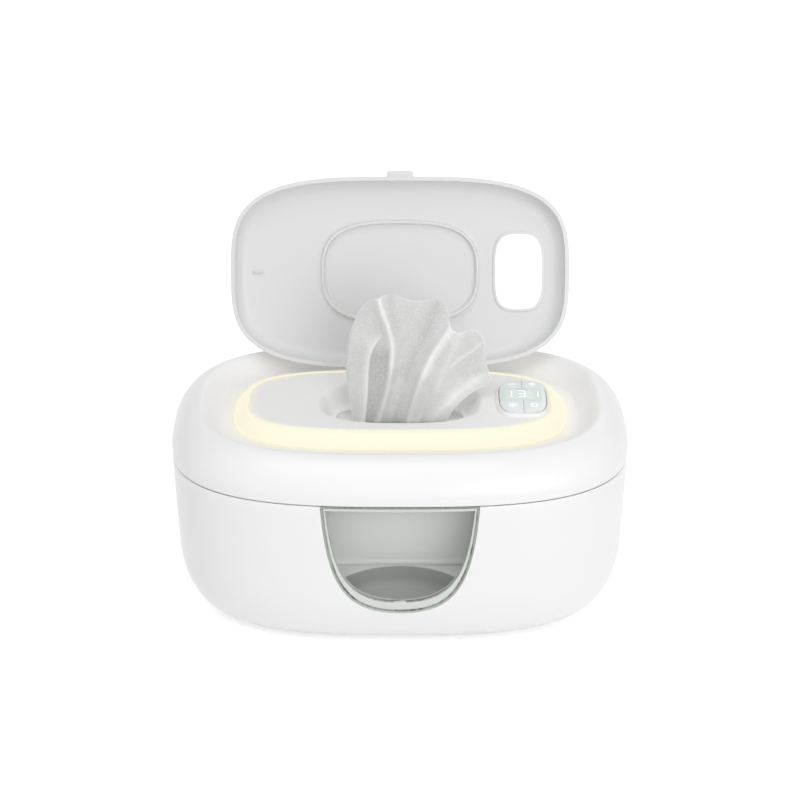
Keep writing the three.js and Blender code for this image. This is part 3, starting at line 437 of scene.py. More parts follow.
def srgb(red, green, blue):
    """A colour as a screen shows it, from 0 to 255, in the linear values that shaders take."""
    linear = []
    for part in (red, green, blue):
        share = part / 255
        linear.append(share / 12.92 if share <= 0.04045 else ((share + 0.055) / 1.055) ** 2.4)
    return (*linear, 1)


def moulded(name, colour, shade, roughness=0.35, grain=0.25, grain_size=2400, mottle=0.5):
    """A plastic from the shared group."""
    material, tree, shader = new_material(name)
    surface = tree.nodes.new("ShaderNodeGroup")
    surface.node_tree = moulding_group
    surface.inputs["Colour"].default_value = colour
    surface.inputs["Shade"].default_value = shade
    surface.inputs["Mottle"].default_value = mottle
    surface.inputs["Roughness"].default_value = roughness
    surface.inputs["Grain"].default_value = grain
    surface.inputs["Grain Size"].default_value = grain_size
    wire(
        tree.links,
        (surface, "Colour", shader, "Base Color"),
        (surface, "Roughness", shader, "Roughness"),
        (surface, "Normal", shader, "Normal"),
    )
    return material, tree, shader


def put_between(tree, shader, group):
    """Puts a group between whatever feeds the shader's colour and the shader."""
    node = tree.nodes.new("ShaderNodeGroup")
    node.node_tree = group
    source = shader.inputs["Base Color"].links[0].from_socket
    tree.links.new(source, node.inputs["Colour"])
    tree.links.new(node.outputs["Colour"], shader.inputs["Base Color"])
    return node


housing_white, _, _ = moulded(
    "housing_white", srgb(247, 247, 247), srgb(243, 243, 244), roughness=0.32
)
print("material", housing_white.name)

# %% [markdown]
# ## Lower housing
# The lower half is a deep bowl. Its bottom edge is a wide round, its side rises almost straight and
# still widens a little up to the seam, and the seam is a fine dark line because both halves have a
# small round on their edge. The wall is added after the skin is drawn, and the window's opening is
# cut through it last.

# %% Draw the lower housing
HALF_WIDTH, HALF_DEPTH, HOUSING_POWER = 120, 82.5, 2.92
HOUSING_WALL = 2.5
BOTTOM, STRAIGHT_FROM, WIDEST_AT = 1.6, 40.2, 94.4
BOTTOM_DRAW, SIDE_DRAW, SIDE_POWER = 25.85, 2.06, 1.4
SEAM, SEAM_GAP, EDGE_ROUND = 89.3, 0.4, 0.3
FOOT_OPENING = 31.6


def housing_ring(draw, height):
    """The housing's outline, drawn in from its widest."""
    return outline(HALF_WIDTH - draw, HALF_DEPTH - draw, HOUSING_POWER, height)


def side_draw(height):
    """How far the side is drawn in at a height."""
    if height < STRAIGHT_FROM:
        level = 1 - (height - BOTTOM) / (STRAIGHT_FROM - BOTTOM)
        return SIDE_DRAW + BOTTOM_DRAW * (1 - math.sqrt(max(1 - level * level, 0)))
    share = (WIDEST_AT - height) / (WIDEST_AT - STRAIGHT_FROM)
    return SIDE_DRAW * max(share, 0) ** SIDE_POWER


def lower_side_heights(arc_steps=14, wall_steps=10):
    heights = []
    for step in range(arc_steps + 1):
        turn = step / arc_steps * math.pi / 2
        heights.append(between(BOTTOM, STRAIGHT_FROM, 1 - math.cos(turn)))
    top = SEAM - SEAM_GAP / 2 - EDGE_ROUND
    for step in range(1, wall_steps + 1):
        heights.append(between(STRAIGHT_FROM, top, step / wall_steps))
    return heights


lower_rings = [
    housing_ring(FOOT_OPENING, BOTTOM + EDGE_ROUND),
    housing_ring(FOOT_OPENING - EDGE_ROUND, BOTTOM),
]
lower_rings += [housing_ring(side_draw(z), z) for z in lower_side_heights()]
lower_rings.append(housing_ring(side_draw(SEAM) + EDGE_ROUND * 0.3, SEAM - SEAM_GAP / 2 - EDGE_ROUND * 0.3))
lower_rings.append(housing_ring(side_draw(SEAM) + EDGE_ROUND, SEAM - SEAM_GAP / 2))
lower_housing = draw_rings("lower_housing", lower_rings)
give_wall(lower_housing, HOUSING_WALL)
print("lower housing drawn with", len(lower_rings), "rings")

# %% [markdown]
# The window is a letter U whose legs reach the seam. Its edge is a Bezier curve, so the same curve
# with other half widths and depths gives the frame, the pane and the seal, and all of them stay
# parallel. A solid of that outline cuts the housing.

# %% Cut the window's opening
U_SIDE_STEPS = 36
U_TOP_STEPS = 24
WINDOW_OUTER = (40.4, 26.0)
WINDOW_INNER = (38.0, 32.4)
WAIST, BELLY, SHOULDER = 0.93, 0.78, 0.64
WINDOW_TOP = SEAM + 1


def u_outline(half, low, top=WINDOW_TOP, corner_top=WINDOW_TOP):
    """Pairs of x and z round the window: down its left leg, up its right one and back along the top."""
    drop = corner_top - low
    bend = corner_top - drop * SHOULDER
    left = [(-half, corner_top), (-half * WAIST, bend), (-half * BELLY, low), (0, low)]
    right = [(0, low), (half * BELLY, low), (half * WAIST, bend), (half, corner_top)]
    points = []
    for curve in (left, right):
        for step in range(U_SIDE_STEPS):
            t = step / U_SIDE_STEPS
            weights = ((1 - t) ** 3, 3 * t * (1 - t) ** 2, 3 * t * t * (1 - t), t**3)
            x = sum(w * p[0] for w, p in zip(weights, curve))
            z = sum(w * p[1] for w, p in zip(weights, curve))
            points.append((x, min(z, top)))
    end_x = max(x for x, _ in points)
    for step in range(U_TOP_STEPS):
        points.append((between(end_x, -end_x, step / U_TOP_STEPS), top))
    return points


def u_prism(name, half, low, near=-95.0, far=-60.0, top=WINDOW_TOP + 1):
    """A solid with the window's outline, standing through the front wall."""
    shape = u_outline(half, low, top, WINDOW_TOP)
    rings = [[Vector((mm(x), mm(y), mm(z))) for x, z in shape] for y in (near, far)]
    return draw_rings(name, rings, start="flat", end="flat")


work_with(lower_housing, u_prism("window_cutter", *WINDOW_OUTER), "DIFFERENCE")
print("window opening", 2 * WINDOW_OUTER[0], "mm wide")

# %% [markdown]
# At the back, two knuckles stand out below the seam and one above it, with the hinge pin through
# all three. Each is a round bar with a web that runs down into the wall.

# %% Add the base's hinge knuckles
HINGE_OUT, KNUCKLE_RADIUS = 3.4, 3
HINGE_Y = HALF_DEPTH + HINGE_OUT
KNUCKLE_INNER, KNUCKLE_OUTER = 16, 40
WEB_DROP = 5.6
KNUCKLE_SIDES = 40
WEB_HALF_HEIGHT = KNUCKLE_RADIUS + WEB_DROP


def knuckle(name, low_x, high_x, direction):
    """A hinge knuckle with its web. Direction is -1 where the web runs down, and 1 where it runs up."""
    seam_face = SEAM + direction * SEAM_GAP / 2
    wall = HALF_DEPTH - HOUSING_WALL
    rings = []
    ends = ((low_x, EDGE_ROUND), (low_x + EDGE_ROUND, 0), (high_x - EDGE_ROUND, 0), (high_x, EDGE_ROUND))
    for x, shrink in ends:
        radius = KNUCKLE_RADIUS - shrink
        side = []
        for step in range(KNUCKLE_SIDES + 1):
            angle = math.pi * (1.5 * step / KNUCKLE_SIDES - 0.5)
            side.append((HINGE_Y + radius * math.cos(angle), SEAM - direction * radius * math.sin(angle)))
        side.append((HINGE_Y - radius, seam_face))
        side.append((wall, seam_face))
        side.append((wall, SEAM + direction * (WEB_HALF_HEIGHT - shrink)))
        rings.append([Vector((mm(x), mm(y), mm(z))) for y, z in side])
    return draw_rings(name, rings, start="flat", end="flat")


base_knuckles = (("left", -KNUCKLE_OUTER, -KNUCKLE_INNER), ("right", KNUCKLE_INNER, KNUCKLE_OUTER))
for name, low_x, high_x in base_knuckles:
    work_with(lower_housing, knuckle("knuckle_" + name, low_x, high_x, -1), "UNION")
PIN_BORE = 1.5


def bore_through(piece, radius, half_length, back, height):
    """A round bore along x for a hinge pin."""
    bpy.ops.object.select_all(action="DESELECT")
    bpy.ops.mesh.primitive_cylinder_add(
        vertices=36,
        radius=mm(radius),
        depth=mm(2 * half_length),
        location=(0, mm(back), mm(height)),
        rotation=(0, math.pi / 2, 0),
    )
    work_with(piece, bpy.context.object, "DIFFERENCE")


bore_through(lower_housing, PIN_BORE, KNUCKLE_OUTER + 1, HINGE_Y, SEAM)
print("knuckle radius", KNUCKLE_RADIUS, "mm")

# %% [markdown]
# The power inlet sits in a round hole low in the rear wall. A bar of the hole's size cuts it.

# %% Cut the inlet's hole and finish the lower housing
INLET_HOLE, INLET_HEIGHT = 4.7, 24
bpy.ops.object.select_all(action="DESELECT")
bpy.ops.mesh.primitive_cylinder_add(
    vertices=48,
    radius=mm(INLET_HOLE),
    depth=mm(HALF_DEPTH / 2),
    location=(0, mm(HALF_DEPTH), mm(INLET_HEIGHT)),
    rotation=(math.pi / 2, 0, 0),
)
work_with(lower_housing, bpy.context.object, "DIFFERENCE")
settle(lower_housing, "base", housing_white, ["lower_shell"])

# %% [markdown]
# ## Upper housing
# The cover begins at the seam, swells a last 2 mm to the widest place and rolls over a full
# shoulder into a crest. Inside the crest a dish slopes down to a narrow floor, which the lit ring
# stands on. The dish changes from the housing's outline to the ring's squarer one, so its rings
# blend both sizes and the roundness.

# %% Draw the upper housing
SHOULDER_RISE, SHOULDER_DRAW, SHOULDER_POWER = 17.2, 14.7, 1.25
DISH_FLOOR = (93.0, 53.2, 3.2, 102.6)
DISH_OPENING = (85.5, 43.3, 3.2, 102.6)
CREST = (HALF_WIDTH - SHOULDER_DRAW, HALF_DEPTH - SHOULDER_DRAW, HOUSING_POWER, WIDEST_AT + SHOULDER_RISE)
COVER_WALL = 2.2
SHOULDER_STEPS, DISH_STEPS = 16, 14


def blend_outline(low, high, share, height=None):
    """An outline between two, each given as half width, half depth, power and height."""
    mixed = [between(a, b, share) for a, b in zip(low, high)]
    if height is not None:
        mixed[3] = height
    return outline(*mixed)


def crested(share, power):
    """Share of a quarter turn's sine, sharpened by a power. It never drops below zero."""
    return max(math.sin(share * math.pi / 2), 0) ** power


upper_rings = [housing_ring(side_draw(SEAM) + EDGE_ROUND, SEAM + SEAM_GAP / 2)]
for z in (SEAM + SEAM_GAP / 2 + EDGE_ROUND, 91.5, 93.2):
    upper_rings.append(housing_ring(side_draw(z), z))
for step in range(SHOULDER_STEPS + 1):
    share = step / SHOULDER_STEPS
    drawn = SHOULDER_DRAW * (1 - max(math.cos(share * math.pi / 2), 0) ** SHOULDER_POWER)
    upper_rings.append(housing_ring(drawn, WIDEST_AT + SHOULDER_RISE * crested(share, SHOULDER_POWER)))
for step in range(1, DISH_STEPS + 1):
    share = step / DISH_STEPS
    upper_rings.append(blend_outline(CREST, DISH_FLOOR, share, between(CREST[3], DISH_FLOOR[3], ease(share))))
upper_rings.append(blend_outline(DISH_FLOOR, DISH_OPENING, 0.5))
upper_rings.append(outline(*DISH_OPENING))
upper_housing = draw_rings("upper_housing", upper_rings)
give_wall(upper_housing, COVER_WALL)
cover_knuckle_end = KNUCKLE_INNER - 2 * EDGE_ROUND
work_with(upper_housing, knuckle("knuckle_middle", -cover_knuckle_end, cover_knuckle_end, 1), "UNION")
bore_through(upper_housing, PIN_BORE, cover_knuckle_end + 1, HINGE_Y, SEAM)

# %% [markdown]
# Two small lugs stand on the floor of the dish, behind the platform, and carry the lid's pin. Each
# is a post with a round top, drawn from the side and pushed along the pin.

# %% Add the lugs of the lid's hinge
LID_HINGE = (48.75, 110.2)
LUG_AT, LUG_WIDTH, LUG_RADIUS = 19.5, 5, 2
LUG_SIDES = 24
LID_PIN_BORE, LID_PIN_HALF = 1.05, 26
lug_foot = DISH_FLOOR[3] - COVER_WALL / 2


def side_prism(name, side, low_x, high_x):
    """A solid from a shape in y and z, pushed along x."""
    rings = [[Vector((mm(x), mm(y), mm(z))) for y, z in side] for x in (low_x, high_x)]
    return draw_rings(name, rings, start="flat", end="flat")


lug_side = [(LID_HINGE[0] + LUG_RADIUS, lug_foot)]
for step in range(LUG_SIDES + 1):
    angle = math.pi * step / LUG_SIDES
    back, up = LUG_RADIUS * math.cos(angle), LUG_RADIUS * math.sin(angle)
    lug_side.append((LID_HINGE[0] + back, LID_HINGE[1] + up))
lug_side.append((LID_HINGE[0] - LUG_RADIUS, lug_foot))
for side in (-1, 1):
    lug_low = side * LUG_AT - LUG_WIDTH / 2
    work_with(upper_housing, side_prism("lug", lug_side, lug_low, lug_low + LUG_WIDTH), "UNION")
bore_through(upper_housing, LID_PIN_BORE, LID_PIN_HALF, *LID_HINGE)
print("the lugs stand", 2 * LUG_AT, "mm apart")

# %% [markdown]
# ## Light ring
# The lit band round the platform is a translucent moulding over a row of diodes. It rises from the
# dish in an S and ends flush with the platform, so its outer side shows as a soft cream slope and
# its inner edge as a bright line. It gives off light of its own, which also warms the dish.

# %% Draw the light ring
RING_OUTER = (87.4, 45.3, 3.2, 102.9)
RING_INNER = (80.0, 36.25, 3.2, 110.0)
RING_EDGE, RING_WALL = 0.4, 1.9
RING_STEPS = 18


def ring_rise(share):
    """The S of the ring's slope: how high it is at a share of its width."""
    return ease(min(share * 1.18, 1)) ** 0.92


ring_foot = RING_OUTER[3] + RING_EDGE
light_rings = [outline(*RING_OUTER)]
for step in range(RING_STEPS + 1):
    share = step / RING_STEPS
    light_rings.append(
        blend_outline(RING_OUTER, RING_INNER, share, between(ring_foot, RING_INNER[3], ring_rise(share)))
    )
for step in range(RING_STEPS, 5, -1):
    share = step / RING_STEPS
    low = between(ring_foot, RING_INNER[3], ring_rise(share)) - RING_WALL
    light_rings.append(blend_outline(RING_OUTER, RING_INNER, share, max(low, RING_OUTER[3])))
light_rings.append(blend_outline(RING_OUTER, RING_INNER, 0.2, RING_OUTER[3]))
light_rings.append(outline(*RING_OUTER))
light_ring = draw_rings("lit_ring", light_rings)
ring_cream, _, ring_shader = moulded(
    "lit_ring_cream", srgb(190, 188, 170), srgb(190, 186, 164), roughness=0.5, grain=0.1
)
ring_shader.inputs["Emission Color"].default_value = srgb(255, 247, 224)
ring_shader.inputs["Emission Strength"].default_value = 0.5
settle(light_ring, "cover", ring_cream, ["light_ring"])

# %% [markdown]
# The ring's light on the plastic next to it is painted. On the platform and in the dish a painted cream glow
# fades away within a few millimetres. Each of the two meshes stores how near the ring its points are, and a node
# group turns that into a painted tint and a little emitted light.

# %% Node group for the painted light beside the ring
PAINTED_HALO_TINT, PAINTED_HALO_GLOW = srgb(251, 248, 234), srgb(255, 244, 200)


def make_painted_halo_group():
    """Paints the ring's light as a cream tint near the ring, and gives a little emitted light with it."""
    group, given, result = new_group(
        "painted_ring_halo",
        [("Colour", "Color")],
        [("Colour", "Color"), ("Light", "Color")],
    )
    nodes, links = group.nodes, group.links
    near = nodes.new("ShaderNodeAttribute")
    near.attribute_name = "near_ring"
    tint = colour_mix(nodes)
    tint.inputs["B"].default_value = PAINTED_HALO_TINT
    light = colour_mix(nodes)
    light.inputs["A"].default_value = (0, 0, 0, 1)
    light.inputs["B"].default_value = PAINTED_HALO_GLOW
    wire(
        links,
        (near, "Fac", tint, "Factor"),
        (near, "Fac", light, "Factor"),
        (given, "Colour", tint, "A"),
        (tint, "Result", result, "Colour"),
        (light, "Result", result, "Light"),
    )
    return group


painted_halo_group = make_painted_halo_group()
PAINTED_HALO_LIGHT = 0.06
DISH_HALO, DECK_HALO = 4.6, 3.0


def paint_ring_halo(piece, tree, shader, edge, reach, inside):
    """Stores how near a piece's points are to an outline, and paints the ring's light there as a tint and a
    little glow.
    """
    near = piece.data.attributes.new("near_ring", "FLOAT", "POINT")
    for vertex in piece.data.vertices:
        across, deep = abs(vertex.co.x) / mm(edge[0]), abs(vertex.co.y) / mm(edge[1])
        share = (across ** edge[2] + deep ** edge[2]) ** (1 / edge[2])
        gap = (1 - share) * edge[1] if inside else (share - 1) * edge[1]
        near.data[vertex.index].value = max(1 - max(gap, 0) / reach, 0) ** 2
    node = put_between(tree, shader, painted_halo_group)
    tree.links.new(node.outputs["Light"], shader.inputs["Emission Color"])
    shader.inputs["Emission Strength"].default_value = PAINTED_HALO_LIGHT


cover_white, cover_tree, cover_shader = moulded(
    "cover_white", srgb(247, 247, 247), srgb(243, 243, 244), roughness=0.32
)
# The ring's light is painted on the dish beside it.
paint_ring_halo(upper_housing, cover_tree, cover_shader, RING_OUTER, DISH_HALO, inside=False)
settle(upper_housing, "cover", cover_white, ["upper_shell"])

# %% [markdown]
# ## Platform and well
# Inside the ring a raised platform fills the opening. Its top is flat, and in the middle it falls
# into an oblong well that a hand reaches into. The well has no edge at all: it bends down softly,
# and flattens as softly at its floor, over about a centimetre. So its rings follow an S. The floor
# has the seat of the silicone gate.

# %% Draw the platform
PLATFORM = (79.9, 36.15, 3.2)
PLATFORM_TOP, PLATFORM_FOOT, PLATFORM_WALL = 110.0, 99.0, 1.8
PLATFORM_EDGE = 1.2
WELL = (43.4, 27.2, 2.7)
WELL_BACK, WELL_DEPTH, WELL_STEPS = -1.0, 10.0, 24
WELL_DRAW = (8.4, 8.2)
GATE_SEAT, SEAT_PLAY = (33.4, 13.6), 0.3


def platform_ring(draw, height):
    return outline(PLATFORM[0] - draw, PLATFORM[1] - draw, PLATFORM[2], height)


platform_rings = [platform_ring(0, PLATFORM_FOOT), platform_ring(0, PLATFORM_TOP - PLATFORM_EDGE)]
for step in range(1, 5):
    turn = step / 4 * math.pi / 2
    drawn = PLATFORM_EDGE * (1 - math.cos(turn))
    platform_rings.append(platform_ring(drawn, PLATFORM_TOP - PLATFORM_EDGE * (1 - math.sin(turn))))
for share in (0.03, 0.07, 0.12, 0.2, 0.35, 0.7):
    platform_rings.append(
        outline(
            between(PLATFORM[0] - PLATFORM_EDGE, WELL[0], share),
            between(PLATFORM[1] - PLATFORM_EDGE, WELL[1], share),
            between(PLATFORM[2], WELL[2], share),
            PLATFORM_TOP,
            back=WELL_BACK * share,
        )
    )
for step in range(WELL_STEPS + 1):
    share = step / WELL_STEPS
    half_x, half_y = WELL[0] - WELL_DRAW[0] * share, WELL[1] - WELL_DRAW[1] * share
    height = PLATFORM_TOP - WELL_DEPTH * ease(share)
    platform_rings.append(outline(half_x, half_y, WELL[2], height, back=WELL_BACK))
well_floor = PLATFORM_TOP - WELL_DEPTH
seat_x, seat_y = (half + SEAT_PLAY for half in GATE_SEAT)
platform_rings.append(outline(seat_x, seat_y, WELL[2], well_floor, back=WELL_BACK))
platform = draw_rings("platform", platform_rings)
face_up(platform)
give_wall(platform, PLATFORM_WALL)

PANEL_AT = 64.7
PANEL = (12.3, 19.5, 3.4)
PANEL_SLIT = 0.4


def panel_outline(grow, height, count=112):
    """The panel's outline, grown or drawn in by an even amount."""
    return outline(PANEL[0] + grow, PANEL[1] + grow, PANEL[2], height, across=PANEL_AT, count=count)


pocket_cutter = draw_rings(
    "pocket_cutter",
    [panel_outline(PANEL_SLIT + 0.3, PLATFORM_TOP - 3), panel_outline(PANEL_SLIT + 0.3, PLATFORM_TOP + 3)],
    start="flat",
    end="flat",
)
work_with(platform, pocket_cutter, "DIFFERENCE")
deck_finish = {"roughness": 0.42, "grain": 0.35, "grain_size": 1800}
deck_white, _, _ = moulded("deck_white", srgb(245, 245, 243), srgb(241, 241, 239), **deck_finish)
platform_white, platform_tree, platform_shader = moulded(
    "platform_white", srgb(245, 245, 243), srgb(241, 241, 239), **deck_finish
)
# The ring's light is painted on the platform's edge.
paint_ring_halo(platform, platform_tree, platform_shader, RING_INNER, DECK_HALO, inside=True)
settle(platform, "cover", platform_white, ["deck_platform"])

# %% [markdown]
# ## Control panel
# The panel is a crowned oblong split by fine slits into four keys and a display band between them.
# It stands in a soft collar. The insert is drawn once as a whole, so that its crown runs over all
# five pieces, and each piece is what a few straight cuts leave of a copy. A small bevel then rounds
# the cut edges, where the light catches on the real keys.

# %% Draw the collar
COLLAR_WIDTH = 2.1
COLLAR_SLIT_X, COLLAR_SLIT_Y = 0.3, 0.2
COLLAR_TOP = PLATFORM_TOP + 1.9
collar_profile = [
    (COLLAR_WIDTH, PLATFORM_TOP + 0.03),
    (COLLAR_WIDTH * 0.94, PLATFORM_TOP + 0.35),
    (COLLAR_WIDTH * 0.84, PLATFORM_TOP + 0.9),
    (COLLAR_WIDTH * 0.7, PLATFORM_TOP + 1.4),
    (COLLAR_WIDTH * 0.54, PLATFORM_TOP + 1.72),
    (COLLAR_WIDTH * 0.4, COLLAR_TOP),
    (COLLAR_WIDTH * 0.28, COLLAR_TOP - 0.05),
]
collar_rings = [panel_outline(grow, z) for grow, z in collar_profile]
slit_x, slit_y = PANEL[0] + COLLAR_SLIT_X, PANEL[1] + COLLAR_SLIT_Y
for z in (COLLAR_TOP - 0.3, PLATFORM_TOP + 0.03):
    collar_rings.append(outline(slit_x, slit_y, PANEL[2], z, across=PANEL_AT, count=112))
collar_rings.append(collar_rings[0])
collar = draw_rings("panel_collar", collar_rings)
settle(collar, "cover", deck_white, ["panel_surround"])

# %% Draw the insert and cut it into keys
KEY_BOTTOM, PANEL_TOP, PANEL_CROWN, CROWN_POWER = 108.5, 113.4, 1.4, 7
BAND_DEPTH, KEY_SLIT = 14.0, 0.2
KEY_STEM_RADIUS, KEY_STEM_BOTTOM = 1.6, 107.4


def panel_share(x, y):
    """0 at the panel's middle and 1 at its outline."""
    across, deep = abs(x - PANEL_AT) / PANEL[0], abs(y) / PANEL[1]
    return (across ** PANEL[2] + deep ** PANEL[2]) ** (1 / PANEL[2])


def panel_height(share):
    return PANEL_TOP - PANEL_CROWN * min(share, 1) ** CROWN_POWER


insert_rings = [panel_outline(-0.3, KEY_BOTTOM), panel_outline(0, KEY_BOTTOM + 0.4)]
for share in (1, 0.985, 0.97, 0.95, 0.92, 0.88, 0.82, 0.74, 0.6, 0.4, 0.2):
    insert_rings.append(
        outline(PANEL[0] * share, PANEL[1] * share, PANEL[2], panel_height(share), across=PANEL_AT, count=112)
    )
insert = draw_rings("insert", insert_rings, start="flat", end="point")


def keep_side(piece, point, away):
    """Cuts a solid with a plane, keeps the side that away points from, and closes the cut."""
    pick(piece)
    bpy.ops.object.mode_set(mode="EDIT")
    bpy.ops.mesh.select_all(action="SELECT")
    place = tuple(mm(c) for c in point)
    bpy.ops.mesh.bisect(
        plane_co=place, plane_no=away, use_fill=True, clear_outer=True, threshold=MERGE_BELOW
    )
    bpy.ops.object.mode_set(mode="OBJECT")


def copy_of(piece, name):
    twin = piece.copy()
    twin.data = piece.data.copy()
    twin.name = twin.data.name = name
    bpy.context.collection.objects.link(twin)
    return twin


half_band, half_slit = BAND_DEPTH / 2, KEY_SLIT / 2
display = copy_of(insert, "display")
keep_side(display, (0, half_band, 0), (0, 1, 0))
keep_side(display, (0, -half_band, 0), (0, -1, 0))
KEYS = (
    ("minus", -1, 1),
    ("plus", 1, 1),
    ("sun", -1, -1),
    ("loop", 1, -1),
)
key_grey, _, _ = moulded(
    "key_grey", srgb(239, 242, 243), srgb(235, 238, 240), roughness=0.33, grain=0.2, grain_size=2600
)
display_green, _, display_shader = moulded(
    "display_green", srgb(229, 241, 234), srgb(225, 238, 230), roughness=0.22, grain=0.1
)
display_shader.inputs["Coat Weight"].default_value = 0.3
for name, side_x, side_y in KEYS:
    key = copy_of(insert, "keycap_" + name)
    keep_side(key, (PANEL_AT + side_x * half_slit, 0, 0), (-side_x, 0, 0))
    keep_side(key, (0, side_y * (half_band + KEY_SLIT), 0), (0, -side_y, 0))
    round_edges(key, 0.12, 2, 75)
    bpy.ops.object.select_all(action="DESELECT")
    bpy.ops.mesh.primitive_cylinder_add(
        vertices=32,
        radius=mm(KEY_STEM_RADIUS),
        depth=mm(KEY_BOTTOM - KEY_STEM_BOTTOM + 0.5),
        location=(
            mm(PANEL_AT + side_x * PANEL[0] / 2),
            mm(side_y * (PANEL[1] + half_band) / 2),
            mm((KEY_BOTTOM + KEY_STEM_BOTTOM + 0.5) / 2),
        ),
    )
    work_with(key, bpy.context.object, "UNION")
    settle(key, "key_" + name, key_grey, ["key_" + name])
round_edges(display, 0.1, 2, 75)
settle(display, "cover", display_green, ["display_band"])
bpy.data.objects.remove(insert)

# %% [markdown]
# The signs on the keys and the digits of the display light up white. They are thin plates that lie
# on the crown: each shape is drawn flat, cut finely enough to bend, laid on the crown's height and
# given a thickness of a few hundredths of a millimetre.

# %% Draw the signs
SIGN_LIFT, SIGN_THICKNESS = 0.03, 0.05
sign_white, _, sign_shader = moulded(
    "sign_white", srgb(255, 255, 255), srgb(252, 253, 255), roughness=0.4, grain=0
)
sign_shader.inputs["Emission Color"].default_value = (1, 1, 1, 1)
sign_shader.inputs["Emission Strength"].default_value = 0.32


def flat_bar(x, y, width, depth, turn=0.0):
    """A flat bar in the sign that is being drawn."""
    bpy.ops.mesh.primitive_plane_add(size=1, location=(mm(x), mm(y), 0))
    bar = bpy.context.object
    bar.scale = (mm(width), mm(depth), 1)
    bar.rotation_euler = (0, 0, turn)
    bpy.ops.object.transform_apply(location=True, rotation=True, scale=True)
    bpy.ops.object.mode_set(mode="EDIT")
    bpy.ops.mesh.subdivide(number_cuts=4)
    bpy.ops.object.mode_set(mode="OBJECT")
    return bar


def flat_disc(x, y, radius, hole=0.0):
    """A flat disc or ring."""
    rings = [outline(radius * s, radius * s, 2, 0, across=x, back=y, count=36) for s in (1, 0.75, 0.5, 0.25)]
    if hole:
        inner = hole / radius
        shares = (1, (1 + inner) / 2, inner)
        rings = [outline(radius * s, radius * s, 2, 0, across=x, back=y, count=36) for s in shares]
    return draw_rings("disc", rings, end="open" if hole else "point")


def make_sign(name, body, shapes):
    """Joins flat shapes, lays them on the crown and gives them their thickness."""
    bpy.ops.object.select_all(action="DESELECT")
    for shape in shapes:
        shape.select_set(True)
    bpy.context.view_layer.objects.active = shapes[0]
    bpy.ops.object.join()
    sign = bpy.context.object
    sign.name = sign.data.name = name
    for vertex in sign.data.vertices:
        share = panel_share(vertex.co.x / MILLIMETRE, vertex.co.y / MILLIMETRE)
        vertex.co.z = mm(panel_height(share) + SIGN_LIFT)
    for polygon in sign.data.polygons:
        if polygon.normal.z < 0:
            polygon.flip()
    apply_modifier(sign, "SOLIDIFY", thickness=mm(SIGN_THICKNESS), offset=1)
    settle(sign, body, sign_white)


SIGN_X, SIGN_Y, SIGN_STROKE, SIGN_SPAN = 5.6, 12.9, 0.75, 4.2
left_x, right_x = PANEL_AT - SIGN_X, PANEL_AT + SIGN_X
make_sign("sign_minus", "key_minus", [flat_bar(left_x, SIGN_Y, SIGN_SPAN, SIGN_STROKE)])
make_sign(
    "sign_plus",
    "key_plus",
    [flat_bar(right_x, SIGN_Y, SIGN_SPAN, SIGN_STROKE), flat_bar(right_x, SIGN_Y, SIGN_STROKE, SIGN_SPAN)],
)
SUN_RADIUS, RAY_AT, RAY_LENGTH, RAY_COUNT = 0.85, 2.0, 0.9, 8
sun_shapes = [flat_disc(left_x, -SIGN_Y, SUN_RADIUS)]
for ray in range(RAY_COUNT):
    turn = ray * 2 * math.pi / RAY_COUNT
    ray_x, ray_y = left_x + RAY_AT * math.cos(turn), -SIGN_Y + RAY_AT * math.sin(turn)
    sun_shapes.append(flat_bar(ray_x, ray_y, RAY_LENGTH, SIGN_STROKE * 0.6, turn))
make_sign("sign_sun", "key_sun", sun_shapes)
LOOP_RADIUS = 1.95
loop_hole = LOOP_RADIUS - SIGN_STROKE * 0.8
make_sign("sign_loop", "key_loop", [flat_disc(right_x, -SIGN_Y, LOOP_RADIUS, loop_hole)])

# %% [markdown]
# The display shows 131 in seven-segment digits. A table says which segments each digit lights.

# %% Draw the digits
DIGIT_WIDTH, DIGIT_HEIGHT, DIGIT_STROKE, DIGIT_PITCH, DIGIT_BACK = 3.4, 7.4, 0.6, 7.0, 0.5
SEGMENTS = {"1": ("upper", "lower"), "3": ("top", "middle", "bottom", "upper", "lower")}
digit_shapes = []
for place, digit in enumerate("131"):
    right = PANEL_AT + (place - 1) * DIGIT_PITCH + DIGIT_WIDTH / 2 - 0.6
    middle = right - DIGIT_WIDTH / 2
    reach = DIGIT_HEIGHT / 2
    segment_places = {
        "top": (middle, DIGIT_BACK + reach, DIGIT_WIDTH, DIGIT_STROKE),
        "middle": (middle, DIGIT_BACK, DIGIT_WIDTH, DIGIT_STROKE),
        "bottom": (middle, DIGIT_BACK - reach, DIGIT_WIDTH, DIGIT_STROKE),
        "upper": (right, DIGIT_BACK + reach / 2, DIGIT_STROKE, reach - DIGIT_STROKE),
        "lower": (right, DIGIT_BACK - reach / 2, DIGIT_STROKE, reach - DIGIT_STROKE),
    }
    for segment in SEGMENTS[digit]:
        digit_shapes.append(flat_bar(*segment_places[segment]))
make_sign("sign_digits", "cover", digit_shapes)

# %% [markdown]
# ## Lid
# The lid is a shallow pan. It is drawn closed, where its sizes are plain, and then turned open about
# its hinge. Its rim is a narrow flat land with rounded edges, its corner a full round, and its top
# slightly crowned. A hole lets the panel through, with a low ridge round it on the inside.

# %% Draw the lid
LID = (91.6, 51.75, 3.4)
LID_RIM, LID_RISE, LID_WALL, LID_ROUNDING, LID_CROWN = 103.9, 11.6, 2.2, 9.0, 0.64
LID_TOP = LID_RIM + LID_RISE
LID_OPEN = math.radians(110)
LID_HOLE = (12.8, 20.4)
LID_TAPER, ROUNDING_SHARE = 0.3, 0.9


def lid_ring(draw, height):
    return outline(LID[0] - draw, LID[1] - draw, LID[2], height)


